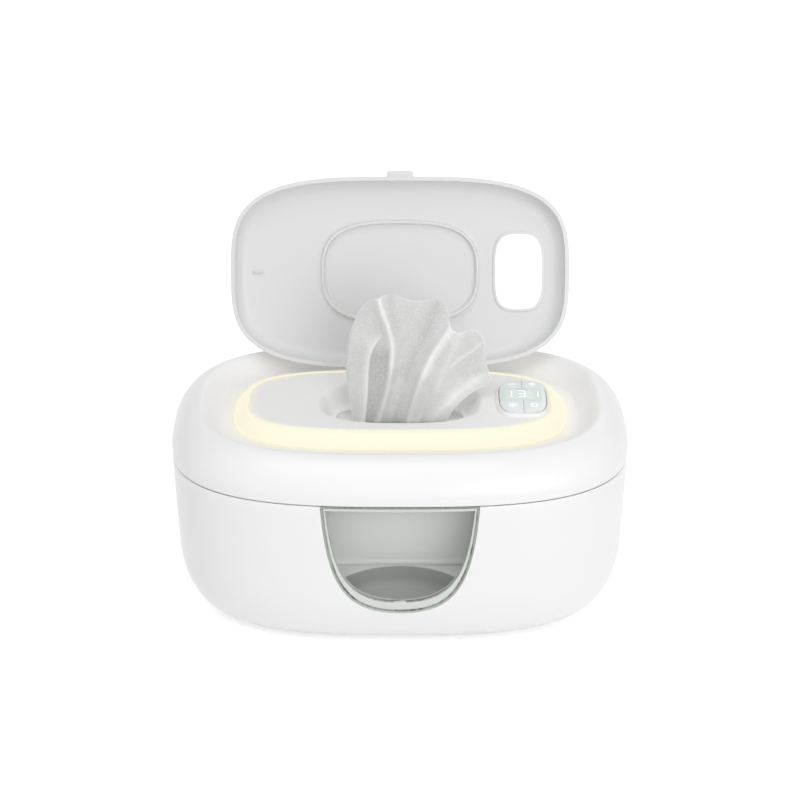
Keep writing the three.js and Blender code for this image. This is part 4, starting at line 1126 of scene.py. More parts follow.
lid_low = LID_TOP - LID_CROWN - LID_ROUNDING
lid_rings = [lid_ring(0, LID_RIM), lid_ring(0.12, LID_RIM + 0.9), lid_ring(LID_TAPER, lid_low + 0.3)]
LID_ARC_STEPS = 14
for step in range(1, LID_ARC_STEPS + 1):
    turn = step / LID_ARC_STEPS * math.pi / 2
    drawn = LID_TAPER + ROUNDING_SHARE * LID_ROUNDING * (1 - math.cos(turn))
    lid_rings.append(lid_ring(drawn, lid_low + LID_ROUNDING * math.sin(turn)))
flat_x, flat_y = (half - LID_TAPER - ROUNDING_SHARE * LID_ROUNDING for half in LID[:2])
for share in (0.93, 0.84, 0.72, 0.58, 0.44, 0.3, 0.15):
    lid_rings.append(outline(flat_x * share, flat_y * share, LID[2], LID_TOP - LID_CROWN * share * share))
lid = draw_rings("lid", lid_rings, end="point")
give_wall(lid, LID_WALL)


def hole_outline(grow, height):
    return outline(LID_HOLE[0] + grow, LID_HOLE[1] + grow, PANEL[2], height, across=PANEL_AT, count=112)


RIDGE_WIDTH, RIDGE_LOW = 1.4, 112.25
ridge_profile = [
    (RIDGE_WIDTH + 0.5, LID_TOP - LID_WALL + 0.4),
    (RIDGE_WIDTH + 0.1, RIDGE_LOW + 0.5),
    (RIDGE_WIDTH - 0.15, RIDGE_LOW + 0.1),
    (RIDGE_WIDTH - 0.4, RIDGE_LOW),
    (-1.0, RIDGE_LOW),
    (-1.0, LID_TOP - LID_WALL + 0.4),
    (RIDGE_WIDTH + 0.5, LID_TOP - LID_WALL + 0.4),
]
work_with(lid, draw_rings("ridge", [hole_outline(grow, z) for grow, z in ridge_profile]), "UNION")
hole_cutter = draw_rings(
    "hole_cutter", [hole_outline(0, LID_RIM), hole_outline(0, LID_TOP + 5)], start="flat", end="flat"
)
work_with(lid, hole_cutter, "DIFFERENCE")
round_edges(lid, 0.45, 3, 50)
bpy.ops.object.mode_set(mode="EDIT")
bpy.ops.mesh.select_all(action="SELECT")
bpy.ops.mesh.remove_doubles(threshold=MERGE_BELOW)
bpy.ops.object.mode_set(mode="OBJECT")
print("lid", [round(d * 1000, 1) for d in lid.dimensions], "mm closed")

# %% [markdown]
# Small forms follow: the half-moon fin inside the left end, the finger tab on the free edge, and the
# boss that takes the hinge pin, with a notch for each lug of the cover.

# %% Add the fin, the finger tab and the hinge boss
FIN_AT, FIN_RADIUS, FIN_DROP, FIN_THICK = -77.5, 3.4, 2.8, 1.0
bpy.ops.object.select_all(action="DESELECT")
bpy.ops.mesh.primitive_cylinder_add(
    vertices=64,
    radius=mm(FIN_RADIUS),
    depth=mm(FIN_THICK),
    location=(mm(FIN_AT), 0, mm(LID_TOP - LID_WALL - FIN_DROP + FIN_RADIUS)),
    rotation=(math.pi / 2, 0, 0),
)
fin = bpy.context.object
bpy.ops.object.transform_apply(location=True, rotation=True, scale=True)
keep_side(fin, (0, 0, LID_TOP - LID_WALL + 0.6), (0, 0, 1))
round_edges(fin, 0.2, 2, 50)
work_with(lid, fin, "UNION")


def box_between(name, low, high, edge):
    """A block with rounded edges, from its low to its high corner."""
    bpy.ops.object.select_all(action="DESELECT")
    centre = [(a + b) / 2 for a, b in zip(low, high)]
    bpy.ops.mesh.primitive_cube_add(size=1, location=[mm(c) for c in centre])
    block = bpy.context.object
    block.name = block.data.name = name
    block.scale = [mm(b - a) for a, b in zip(low, high)]
    bpy.ops.object.transform_apply(location=True, rotation=True, scale=True)
    round_edges(block, edge, 4, 30)
    return block


TAB_WIDTH, TAB_REACH, TAB_THICK, TAB_AT = 14, 3, 2, 104.9
tab_low = (-TAB_WIDTH / 2, -LID[1] - TAB_REACH, TAB_AT)
tab_high = (TAB_WIDTH / 2, -LID[1] + 1.2, TAB_AT + TAB_THICK)
work_with(lid, box_between("finger_tab", tab_low, tab_high, 0.8), "UNION")
BOSS_WIDTH, BOSS_REACH, BOSS_DROP = 52, 2.6, 2.9
boss_low = (-BOSS_WIDTH / 2, LID_HINGE[0] - BOSS_REACH, LID_HINGE[1] - BOSS_DROP)
boss_high = (BOSS_WIDTH / 2, LID[1] - 1.0, LID_HINGE[1] + 1.5)
work_with(lid, box_between("hinge_boss", boss_low, boss_high, 0.4), "UNION")
LUG_PLAY = 0.42
notch_reach = LUG_RADIUS + LUG_PLAY
notch_slope = math.tan(LID_OPEN - math.pi / 2)
hinge_y, hinge_z = LID_HINGE
notch_side = [
    (hinge_y - notch_reach, hinge_z - LID_RISE),
    (hinge_y - notch_reach, hinge_z),
    (hinge_y - notch_reach * 0.7, hinge_z + notch_reach * 0.7),
    (hinge_y - notch_reach * notch_slope, hinge_z + notch_reach),
    (hinge_y + LID_RISE, hinge_z + notch_reach + (LID_RISE + notch_reach) * notch_slope),
    (hinge_y + LID_RISE, hinge_z - LID_RISE),
]
for side in (-1, 1):
    notch_low = side * LUG_AT - LUG_WIDTH / 2 - 0.3
    work_with(lid, side_prism("notch", notch_side, notch_low, notch_low + LUG_WIDTH + 0.6), "DIFFERENCE")
bore_through(lid, LID_PIN_BORE, LID_PIN_HALF, *LID_HINGE)
print("hinge boss", BOSS_WIDTH, "mm wide")


# %% Turn the lid open and finish it
def turn_open(piece):
    """Turns a piece of the lid from closed to open. Without a window the operator turns the other way."""
    pick(piece)
    bpy.ops.object.mode_set(mode="EDIT")
    bpy.ops.mesh.select_all(action="SELECT")
    bpy.ops.transform.rotate(
        value=LID_OPEN, orient_axis="X", center_override=(0, mm(LID_HINGE[0]), mm(LID_HINGE[1]))
    )
    bpy.ops.object.mode_set(mode="OBJECT")


turn_open(lid)
lid_white, _, _ = moulded(
    "lid_white", srgb(226, 226, 227), srgb(222, 222, 224), roughness=0.38, grain=0.3, grain_size=1600
)
settle(lid, "lid", lid_white, ["lid_shell"])

# %% [markdown]
# The seal is a thin lip of silicone that lies round the well when the lid is shut. Its foot is
# broad, and it narrows to a rounded edge, which catches the light as one bright line.

# %% Draw the seal
SEAL = (43.0, 28.0, 2.9)
SEAL_WIDTH, SEAL_LOW = 2.2, 110.3
SEAL_HIGH = LID_TOP - LID_WALL - 0.2
seal_profile = [
    (0.0, SEAL_HIGH),
    (0.12, SEAL_LOW + 1.6),
    (0.32, SEAL_LOW + 0.7),
    (0.45, SEAL_LOW + 0.25),
    (0.7, SEAL_LOW + 0.03),
    (1.0, SEAL_LOW),
    (1.3, SEAL_LOW + 0.03),
    (1.55, SEAL_LOW + 0.25),
    (1.75, SEAL_LOW + 0.7),
    (2.0, SEAL_LOW + 1.6),
    (SEAL_WIDTH, SEAL_HIGH),
    (0.0, SEAL_HIGH),
]
seal_rings = [outline(SEAL[0] - draw, SEAL[1] - draw, SEAL[2], z) for draw, z in seal_profile]
seal = draw_rings("lid_lip", seal_rings)
turn_open(seal)
silicone, _, _ = moulded(
    "silicone", srgb(230, 230, 228), srgb(224, 225, 223), roughness=0.55, grain=0.4, grain_size=1200
)
settle(seal, "lid", silicone, ["lid_seal"])

# %% [markdown]
# ## Gate
# The floor of the well is a sheet of soft silicone with a slot, and a fine groove round it lets the
# lips give. They dip towards the slot, where the wipe has been pulled through, so it is one skin
# from the edge down to the slot with a wall.

# %% Draw the gate
GATE = (35.2, 15.4, 2.9)
GATE_TOP, GATE_THICK = 98.25, 1.2
SLOT = (25.0, 2.6, 3.2)
gate_section = (
    # share of the way to the slot, height under the top
    (0.0, 0.0),
    (0.2, 0.0),
    (0.38, 0.0),
    (0.4, 0.3),
    (0.44, 0.3),
    (0.46, 0.0),
    (0.6, 0.0),
    (0.75, 0.1),
    (0.88, 0.2),
    (1.0, 0.35),
)
gate_rings = []
for share, dip in gate_section:
    size = [between(a, b, share) for a, b in zip(GATE, SLOT)]
    gate_rings.append(outline(*size, GATE_TOP - dip, back=WELL_BACK))
gate = draw_rings("silicone_gate", gate_rings)
face_up(gate)
give_wall(gate, GATE_THICK)
settle(gate, "cover", silicone, ["wipe_gate"])

# %% [markdown]
# ## Window
# The window's frame lies in the front wall and follows its curve. From the outside in, it has a
# thin rim, a recessed band, and a raised lip that widens towards the bottom. So its section is a
# list of places across the frame, each with a depth under the housing's surface, and the section
# runs along the U.

# %% Tools for the window
FRAME_TOP_OUTER, FRAME_TOP_INNER = 88.75, 86.5
FRAME_PLAY = 0.3


def front_of_housing(x, z):
    """How far forward the outside of the housing is at a place on its front."""
    drawn = side_draw(z)
    across = min(abs(x) / (HALF_WIDTH - drawn), 1)
    return -(HALF_DEPTH - drawn) * (1 - across**HOUSING_POWER) ** (1 / HOUSING_POWER)


def on_front(pairs, depth):
    """Places pairs of x and z under the housing's front surface."""
    return [Vector((mm(x), mm(front_of_housing(x, z) + depth), mm(z))) for x, z in pairs]


def frame_outline(side_share, low_share, depth):
    """The window's outline between its outer and inner edge. Its foot can lie at another share."""
    half = between(WINDOW_OUTER[0] - FRAME_PLAY, WINDOW_INNER[0], side_share)
    low = between(WINDOW_OUTER[1] + FRAME_PLAY, WINDOW_INNER[1], low_share)
    top = between(FRAME_TOP_OUTER, FRAME_TOP_INNER, low_share)
    return on_front(u_outline(half, low, top), depth)


# %% Draw the window's frame
FRAME_DEPTH = 2.2
frame_section = [
    # share at the sides, share at the foot, depth
    (0.0, 0.0, FRAME_DEPTH),
    (0.0, 0.0, 0.4),
    (0.03, 0.015, 0.25),
    (0.13, 0.06, 0.25),
    (0.17, 0.08, 0.4),
    (0.19, 0.09, 1.3),
    (0.58, 0.3, 1.35),
    (0.6, 0.31, 0.5),
    (0.63, 0.33, 0.3),
    (0.72, 0.4, 0.25),
    (0.9, 0.86, 0.42),
    (0.97, 0.96, 0.55),
    (1.0, 1.0, 0.85),
    (1.0, 1.0, FRAME_DEPTH),
    (0.0, 0.0, FRAME_DEPTH),
]
window_frame = draw_rings("front_frame", [frame_outline(*place) for place in frame_section])
TAB_HALF, TAB_RISE = 3.2, 1.2
tab_y = front_of_housing(0, WINDOW_INNER[1])
work_with(
    window_frame,
    box_between(
        "frame_tab",
        (-TAB_HALF, tab_y + 0.75, WINDOW_INNER[1] - TAB_RISE),
        (TAB_HALF, tab_y + 2.0, WINDOW_INNER[1] + TAB_RISE),
        0.3,
    ),
    "UNION",
)
# The recessed band of the frame gets painted reflections, masked by how deep it lies under the housing's
# surface.
BAND_DEPTH_FROM, BAND_DEPTH_TO = 0.7, 1.15
reflection_mask = window_frame.data.attributes.new("band", "FLOAT", "POINT")
for vertex in window_frame.data.vertices:
    x, y, z = (part / MILLIMETRE for part in vertex.co)
    sunk = y - front_of_housing(x, z)
    level = (sunk - BAND_DEPTH_FROM) / (BAND_DEPTH_TO - BAND_DEPTH_FROM)
    reflection_mask.data[vertex.index].value = ease(min(max(level, 0), 1))
frame_grey, frame_tree, frame_shader = moulded(
    "frame_grey", srgb(216, 222, 216), srgb(208, 214, 208), roughness=0.2, grain=0.15, grain_size=900
)
frame_shader.inputs["Coat Weight"].default_value = 0.25
frame_shader.inputs["Coat Roughness"].default_value = 0.08


def make_band_reflection_group():
    """Painted reflections in the recess of the window's frame: dark streaks that run along it."""
    group, given, result = new_group("band_painted_reflections", [("Colour", "Color")], [("Colour", "Color")])
    nodes, links = group.nodes, group.links
    place = nodes.new("ShaderNodeTexCoord")
    stretch = nodes.new("ShaderNodeMapping")
    stretch.inputs["Scale"].default_value = (320, 60, 90)
    reflection_streaks = nodes.new("ShaderNodeTexNoise")
    reflection_streaks.inputs["Scale"].default_value = 1
    reflection_streaks.inputs["Detail"].default_value = 3
    painted_tones = nodes.new("ShaderNodeValToRGB")
    painted_tones.color_ramp.elements[0].position = 0.36
    painted_tones.color_ramp.elements[0].color = srgb(120, 116, 110)
    painted_tones.color_ramp.elements[1].position = 0.56
    painted_tones.color_ramp.elements[1].color = srgb(184, 189, 183)
    mask = nodes.new("ShaderNodeAttribute")
    mask.attribute_name = "band"
    paint = colour_mix(nodes)
    wire(
        links,
        (place, "Object", stretch, "Vector"),
        (stretch, "Vector", reflection_streaks, "Vector"),
        (reflection_streaks, "Fac", painted_tones, "Fac"),
        (mask, "Fac", paint, "Factor"),
        (given, "Colour", paint, "A"),
        (painted_tones, "Color", paint, "B"),
        (paint, "Result", result, "Colour"),
    )
    return group


# Painted reflections are laid over the frame's recessed band.
put_between(frame_tree, frame_shader, make_band_reflection_group())
settle(window_frame, "base", frame_grey, ["window_frame"], smooth=math.radians(40))

# %% [markdown]
# The pane is a clear sheet with the same curve, a little larger than the opening. It is drawn as
# rings that shrink towards a point, so that it bends with the wall, and its faint grey green tint
# comes from an almost transparent surface.

# %% Draw the pane
PANE_GROW, PANE_DEPTH, PANE_THICK, PANE_TOP = 1.4, 2.55, 1.3, 87.8
PANE_MIDDLE = (0.0, 64.0)
pane_edge = u_outline(WINDOW_INNER[0] + PANE_GROW, WINDOW_INNER[1] - PANE_GROW, PANE_TOP)
pane_rings = []
for size in (1, 0.9, 0.78, 0.64, 0.5, 0.36, 0.22, 0.1):
    shrunk = [(between(PANE_MIDDLE[0], x, size), between(PANE_MIDDLE[1], z, size)) for x, z in pane_edge]
    pane_rings.append(on_front(shrunk, PANE_DEPTH))
pane = draw_rings("front_pane", pane_rings, end="point")
face_front(pane)
give_wall(pane, PANE_THICK)
pane_clear, _, pane_shader = moulded(
    "pane_clear", srgb(190, 196, 190), srgb(186, 193, 187), roughness=0.06, grain=0.02, grain_size=300
)
pane_shader.inputs["Alpha"].default_value = 0.1
settle(pane, "base", pane_clear, ["window_pane"])

# %% [markdown]
# Behind the pane a flat gasket follows the same curve. It stays wholly behind the frame's lip.

# %% Draw the window's gasket
GASKET_NEAR, GASKET_FAR = 4.0, 5.4
GASKET_INSIDE, GASKET_OUTSIDE = 0.3, 1.4
gasket_section = (
    (GASKET_INSIDE, GASKET_FAR),
    (GASKET_INSIDE, GASKET_NEAR),
    (GASKET_OUTSIDE, GASKET_NEAR),
    (GASKET_OUTSIDE, GASKET_FAR),
    (GASKET_INSIDE, GASKET_FAR),
)
gasket_rings = []
for grow, depth in gasket_section:
    edge = u_outline(WINDOW_INNER[0] + grow, WINDOW_INNER[1] - grow, FRAME_TOP_INNER + grow)
    gasket_rings.append(on_front(edge, depth))
window_gasket = draw_rings("window_gasket", gasket_rings)
settle(window_gasket, "base", silicone, ["window_seal"])

# %% [markdown]
# ## Chamber
# Behind the window lies the tub that holds the wipes. It is a grey tray with a flange that hangs in
# the housing. At the front its floor drops into a pocket with a round back edge, which takes the
# water that drips. The tray, the pocket and the spaces inside them are drawn as solids, and joined
# and cut.

# %% Draw the tub
TUB_TOP, TUB_FLANGE, FLANGE_INSET, TUB_WALL = 88.0, 1.5, 3.1, 1.8
TUB_INSET, TUB_DRAFT, TUB_FLOOR, TUB_ROUND = 6.6, 2.0, 40.0, 3.0
TUB_ROUND_STEPS = 6


def floor_round(inset, floor, radius):
    """Rings of a tray's rounded foot, from its side down to its floor."""
    rings = []
    for step in range(TUB_ROUND_STEPS + 1):
        turn = step / TUB_ROUND_STEPS * math.pi / 2
        drawn = inset + radius * (1 - math.cos(turn))
        rings.append(housing_ring(drawn, floor + radius * (1 - math.sin(turn))))
    return rings


tub_rings = list(reversed(floor_round(TUB_INSET + TUB_DRAFT, TUB_FLOOR - TUB_WALL, TUB_ROUND)))
tub_rings += [
    housing_ring(TUB_INSET, TUB_TOP - TUB_FLANGE),
    housing_ring(FLANGE_INSET, TUB_TOP - TUB_FLANGE),
    housing_ring(FLANGE_INSET, TUB_TOP - 0.3),
    housing_ring(FLANGE_INSET + 0.3, TUB_TOP),
    housing_ring(TUB_INSET + TUB_WALL - 0.5, TUB_TOP),
    housing_ring(TUB_INSET + TUB_WALL, TUB_TOP - 0.5),
]
tub_rings += floor_round(TUB_INSET + TUB_DRAFT + TUB_WALL, TUB_FLOOR, TUB_ROUND)
tub = draw_rings("tub", tub_rings, start="flat", end="flat")

# %% [markdown]
# The pocket is where a large round column meets the tub's own outline, so each of its two solids,
# the outer and the inner one, is a column cut by a copy of that outline. The inner column flares at
# its top, which gives the pocket's edge its small round.

# %% Add the pocket
POCKET_RADIUS, POCKET_BACK, POCKET_FLOOR = 39.7, -92.7, 27.0


def pocket_solid(name, profile, inset, low, high):
    """A column from pairs of radius and height, kept where it lies inside the tub's outline."""
    column = draw_rings(
        name,
        [outline(radius, radius, 2, z, back=POCKET_BACK) for radius, z in profile],
        start="flat",
        end="flat",
    )
    limit_rings = [housing_ring(inset, low), housing_ring(inset, high)]
    limit = draw_rings("limit", limit_rings, start="flat", end="flat")
    work_with(column, limit, "INTERSECT")
    return column


outer_radius = POCKET_RADIUS + TUB_WALL
outer_profile = [
    (outer_radius - 0.6, POCKET_FLOOR - TUB_WALL),
    (outer_radius, POCKET_FLOOR - 1),
    (outer_radius, TUB_FLOOR - 0.5),
]
inner_profile = [
    (POCKET_RADIUS - 2.2, POCKET_FLOOR),
    (POCKET_RADIUS - 0.6, POCKET_FLOOR + 0.6),
    (POCKET_RADIUS, POCKET_FLOOR + 2.2),
    (POCKET_RADIUS, TUB_FLOOR - 0.9),
    (POCKET_RADIUS + 0.25, TUB_FLOOR - 0.25),
    (POCKET_RADIUS + 0.8, TUB_FLOOR + 0.02),
    (POCKET_RADIUS + 0.8, TUB_FLOOR + 4),
]
work_with(tub, pocket_solid("pocket_outside", outer_profile, TUB_INSET + TUB_DRAFT, 20, 80), "UNION")
inside_inset = TUB_INSET + TUB_DRAFT + TUB_WALL
work_with(tub, pocket_solid("pocket_inside", inner_profile, inside_inset, 20, 80), "DIFFERENCE")
tub_window = u_prism("tub_window", WINDOW_INNER[0] + 1.8, WINDOW_INNER[1] - 1.8, far=-66.0)
work_with(tub, tub_window, "DIFFERENCE")
tub_grey, tub_tree, tub_shader = moulded(
    "tub_grey", srgb(240, 243, 239), srgb(235, 238, 234), roughness=0.4, grain=0.3, grain_size=1400
)


def make_pocket_painted_shade_group():
    """Painted shade in the pocket, below a height: a dark grey wall and a lighter grey floor. The edge between
    the two is soft.
    """
    group, given, result = new_group("pocket_painted_shade", [("Colour", "Color")], [("Colour", "Color")])
    nodes, links = group.nodes, group.links
    place = nodes.new("ShaderNodeTexCoord")
    parts = nodes.new("ShaderNodeSeparateXYZ")
    level = nodes.new("ShaderNodeMapRange")
    level.inputs["From Min"].default_value = mm(TUB_FLOOR - 0.9)
    level.inputs["From Max"].default_value = mm(TUB_FLOOR - 0.2)
    depth = nodes.new("ShaderNodeMapRange")
    depth.inputs["From Min"].default_value = mm(POCKET_FLOOR)
    depth.inputs["From Max"].default_value = mm(POCKET_FLOOR + 6)
    wall = colour_mix(nodes)
    wall.inputs["A"].default_value = srgb(196, 201, 195)
    wall.inputs["B"].default_value = srgb(146, 151, 145)
    paint = colour_mix(nodes)
    wire(
        links,
        (place, "Object", parts, "Vector"),
        (parts, "Z", level, "Value"),
        (parts, "Z", depth, "Value"),
        (depth, "Result", wall, "Factor"),
        (wall, "Result", paint, "A"),
        (level, "Result", paint, "Factor"),
        (given, "Colour", paint, "B"),
        (paint, "Result", result, "Colour"),
    )
    return group


# The pocket's wall and floor are painted darker, as shade.
put_between(tub_tree, tub_shader, make_pocket_painted_shade_group())
settle(tub, "base", tub_grey, ["inner_tub"])

# %% [markdown]
# ## Pack of wipes
# The pack in the chamber is film round a stack of folded wipes. Its sides are filled out but not
# flat, it is a little narrower at the top, and a seam runs low along its front. The rings carry
# these forms, and then every point moves by a slow noise, which gives the slack creases of film.

# %% Tool for smooth curves through a table
def along(table, share):
    """The smooth curve through rows that start with a share, at any share."""
    last = len(table) - 1
    high = next((i for i, row in enumerate(table) if row[0] >= share), last)
    high = max(high, 1)
    low = high - 1
    span = table[high][0] - table[low][0]
    t = (share - table[low][0]) / span
    values = []
    for part in range(1, len(table[0])):
        before, a, b, after = (table[min(max(i, 0), last)] for i in (low - 1, low, high, high + 1))
        slope_a = (b[part] - before[part]) / (b[0] - before[0])
        slope_b = (after[part] - a[part]) / (after[0] - a[0])
        values.append(
            (2 * t**3 - 3 * t * t + 1) * a[part]
            + (t**3 - 2 * t * t + t) * span * slope_a
            + (3 * t * t - 2 * t**3) * b[part]
            + (t**3 - t * t) * span * slope_b
        )
    return values


print("a curve through three rows, half way:", along(((0, 0), (0.5, 1), (1, 0)), 0.5))

# %% Draw the pack
PACK = (93.2, 52.1, 7)
PACK_BACK = -2.1
PACK_LOW, PACK_HIGH = 40.45, 81.6
PACK_POINTS, PACK_STEPS = 240, 64
PACK_SECTION = (
    # share of the way up the side, drawn in, height above the floor
    (0.0, 5.0, 0.0),
    (0.03, 1.6, 0.05),
    (0.06, 0.5, 0.5),
    (0.09, 0.2, 1.3),
    (0.12, 0.2, 2.2),
    (0.15, 0.6, 2.9),
    (0.18, 0.7, 3.4),
    (0.22, 0.45, 4.6),
    (0.3, 0.12, 8),
    (0.38, 0.0, 13),
    (0.46, 0.0, 19),
    (0.54, 0.1, 25),
    (0.62, 0.35, 30),
    (0.7, 0.9, 34.5),
    (0.78, 1.9, 37.6),
    (0.86, 3.4, 39.6),
    (0.93, 5.6, 40.7),
    (1.0, 9.0, 41.0),
)
pack_rings = []
for step in range(PACK_STEPS + 1):
    draw, up = along(PACK_SECTION, step / PACK_STEPS)
    pack_rings.append(
        outline(PACK[0] - draw, PACK[1] - draw, PACK[2], PACK_LOW + up, back=PACK_BACK, count=PACK_POINTS)
    )
top_x, top_y = (half - PACK_SECTION[-1][1] for half in PACK[:2])
for share in (0.9, 0.8, 0.7, 0.6, 0.5, 0.4, 0.3, 0.2, 0.1):
    height = PACK_HIGH - 0.15 * share
    pack_rings.append(
        outline(top_x * share, top_y * share, PACK[2], height, back=PACK_BACK, count=PACK_POINTS)
    )
pack = draw_rings("pack_of_wipes", pack_rings, start="point", end="point")
CREASE_DEPTH, CREASE_SIZE = 0.55, 26.0
outwards = [vertex.normal.copy() for vertex in pack.data.vertices]
for vertex, normal in zip(pack.data.vertices, outwards):
    level = (vertex.co.z / MILLIMETRE - PACK_LOW) / (PACK_HIGH - PACK_LOW)
    slack = 1 - abs(2 * level - 1) ** 3
    wave = noise.noise(vertex.co / mm(CREASE_SIZE)) + 0.5 * noise.noise(vertex.co / mm(CREASE_SIZE / 3))
    vertex.co -= normal * mm(CREASE_DEPTH) * slack * (0.6 + wave) / 1.6
film_white, _, film_shader = moulded(
    "pack_film", srgb(250, 252, 250), srgb(244, 247, 244), roughness=0.35, grain=0.25, grain_size=500
)
film_shader.inputs["Coat Weight"].default_value = 0.2
settle(pack, "base", film_white, ["wipes_pack"], smooth=math.radians(60))

# %% [markdown]
# ## Wipe
# A wipe stands in the gate. It was pulled up from the pack through a narrow slot, so its folds start
# close together and fan out upwards, and its far edge is a soft wavy line. It could be simulated,
# but the shape in the photograph is a particular one. So it is a fine grid that is laid between the
# slot and the far edge, and the ridges and valleys of its folds are drawn as lines over that grid.

# %% Lay the wipe between the slot and its far edge
WIPE_COLUMNS, WIPE_ROWS = 240, 170
WIPE_FOOT, WIPE_HALF = 91.0, 24.2
SPREAD_LEFT, SPREAD_RIGHT = 1.0, 2.4
WIPE_LEAN, WIPE_CURL = 3.2, 0.8
FAR_EDGE = (
    # x and z of the free edge, from its left end over the top to its right end
    (-28.4, 127.0), (-27.9, 137.3), (-26.1, 146.9), (-23.9, 153.5), (-21.2, 159.7), (-17.7, 164.8),
    (-14.2, 167.5), (-10.6, 168.7), (-7.3, 169.1), (-4.3, 169.1), (-0.8, 168.2), (3.0, 166.7),
    (7.4, 165.4), (12.6, 165.2), (17.7, 165.6), (21.2, 164.8), (23.4, 163.2), (24.8, 160.6),
    (25.4, 157.3), (25.9, 153.5), (27.0, 150.5), (29.6, 148.5), (32.6, 148.4), (35.2, 149.3),
    (37.8, 149.6), (40.5, 148.3), (42.7, 145.9), (44.0, 142.6), (44.5, 138.3), (44.9, 133.5),
    (45.5, 128.7), (46.9, 124.8), (47.7, 121.6), (47.2, 119.6),
)
edge_lengths = [0.0]
for before, after in zip(FAR_EDGE, FAR_EDGE[1:]):
    edge_lengths.append(edge_lengths[-1] + math.dist(before, after))
edge_table = [(reach / edge_lengths[-1], x, z) for reach, (x, z) in zip(edge_lengths, FAR_EDGE)]
FAR_STEPS = 400
far_edge = [along(edge_table, step / FAR_STEPS) for step in range(FAR_STEPS + 1)]


def wipe_place(u, v):
    """Where the unfolded wipe is, in x and z, at a share across and a share up."""
    at = u * FAR_STEPS
    low = min(int(at), FAR_STEPS - 1)
    far_x, far_z = (between(a, b, at - low) for a, b in zip(far_edge[low], far_edge[low + 1]))
    spread = v ** between(SPREAD_LEFT, SPREAD_RIGHT, u)
    return between(WIPE_HALF * (2 * u - 1), far_x, spread), between(WIPE_FOOT, far_z, v)


print("the wipe's free edge is", round(edge_lengths[-1]), "mm long")

# %% [markdown]
# Each fold is a line that climbs the cloth, with a height and a width on either side. A steep right side beside
# a gentle left one gives the overlapping look of a real gathered cloth. The light on the folds is painted too:
# each fold has a painted tone with its own widths, a painted highlight along the ridges and painted shade in the
# valleys and where the cloth lies behind a fold.

# %% Draw the wipe's folds
LEFT_FOLD = ((91, -19.6), (98.3, -18.9), (114.8, -17.5), (131.2, -16.6), (139.9, -14.8), (148.4, -9.8))
MAIN_FOLD = (
    (91, -13.2), (98.3, -11), (115.8, -6.6), (131.2, -4.3), (143.7, -3.9), (153.2, -6), (161.6, -9.1), (170, -11)
)
RIGHT_FOLD = (
    (91, 2.4), (98.3, 4), (110, 6.6), (121.6, 10.1), (133.2, 14.4), (142.7, 19.6), (148.4, 23.4), (156, 28)
)
RIGHT_CREASE = ((120, 11), (133.2, 16), (142.7, 21.4), (148.4, 25.5), (156, 31))
LEAF_FOLD = (
    (91, 7), (98.3, 9.3), (104.1, 12.8), (115.8, 18), (127.4, 22.3), (135.1, 25.7), (146.5, 30.4), (150, 32)
)
LEAF_TIP = ((130, 27), (135.1, 33.6), (138.9, 38.8), (143.2, 43.9), (147, 48.5))
LOW_SWELL = ((91, 12), (100.2, 17.5), (108, 25), (117.7, 35), (123.5, 43.5), (126, 50))
MIDDLE_VALLEY = ((91, -3), (110, -0.5), (123.5, 3.1), (135.1, 8), (150.3, 14.6), (162.6, 18.5))
TOP_VALLEY = ((150, -2.2), (160, -4.6), (170, -5.4))
FOOT_FOLD = ((91, -6), (98.3, -5), (115, -0.8), (130, 0.6))
FOOT_VALLEY = ((91, 14), (98.3, 11.6), (110, 15.4), (120, 19))
FOLDS = (
    # line, z where it begins and ends, height, width to its left and right, then its painted light and shade in
    # the same way, a highlight where it is above 0 and shade where below. A line is pairs of z and x.
    (MAIN_FOLD, 0, 200, 4.0, 5.5, 2.0, 0.3, 1.8, 0.8),
    (MAIN_FOLD, 132, 200, 0.5, 3.0, 1.2, 0.6, 1.5, 1.2),
    (LEFT_FOLD, 0, 149, 3.4, 6.0, 0.9, 0.62, 2.4, 0.5),
    (RIGHT_FOLD, 0, 158, 4.0, 1.8, 5.0, 0.45, 1.0, 2.2),
    (RIGHT_CREASE, 128, 158, 0.6, 3.0, 4.0, 0.7, 2.6, 3.0),
    (LEAF_FOLD, 0, 200, 1.7, 2.2, 4.5, 0.32, 1.4, 3.0),
    (LEAF_TIP, 133, 146, 0.5, 1.6, 2.2, 0.45, 1.0, 1.4),
    (LOW_SWELL, 0, 127, 0.9, 6.0, 6.0, 0.75, 6.0, 7.0),
    (MIDDLE_VALLEY, 0, 200, -2.6, 6.0, 4.0, -0.5, 3.6, 3.4),
    (TOP_VALLEY, 150, 200, -0.9, 2.4, 2.8, -0.5, 1.6, 2.2),
    (FOOT_FOLD, 0, 125, 0.6, 3.0, 3.0, 0.4, 2.4, 2.6),
    (FOOT_VALLEY, 0, 120, -0.6, 2.4, 2.4, -0.35, 2.0, 2.4),
)
FOLD_START, FOLD_FULL, FOLD_FADE = 0.3, 0.45, 8.0
RECESS_TOP, RECESS_PAINTED_SHADE, RECESS_DEPTH = 147.0, -0.7, 1.0
CREST_POWER = 1.35


def crest(distance, width):
    """1 on the ridge and falling off to its side, sharp at the top and soft at the foot."""
    return math.exp(-((abs(distance) / width) ** CREST_POWER))


def fold_x(line, z):
    """How far across a fold's line is at a height."""
    return along(line, min(max(z, line[0][0]), line[-1][0]))[0]


def soft_step(value, low, high):
    return ease(min(max((value - low) / (high - low), 0), 1))


FOLD_LEVELS = 20
known_folds = {}


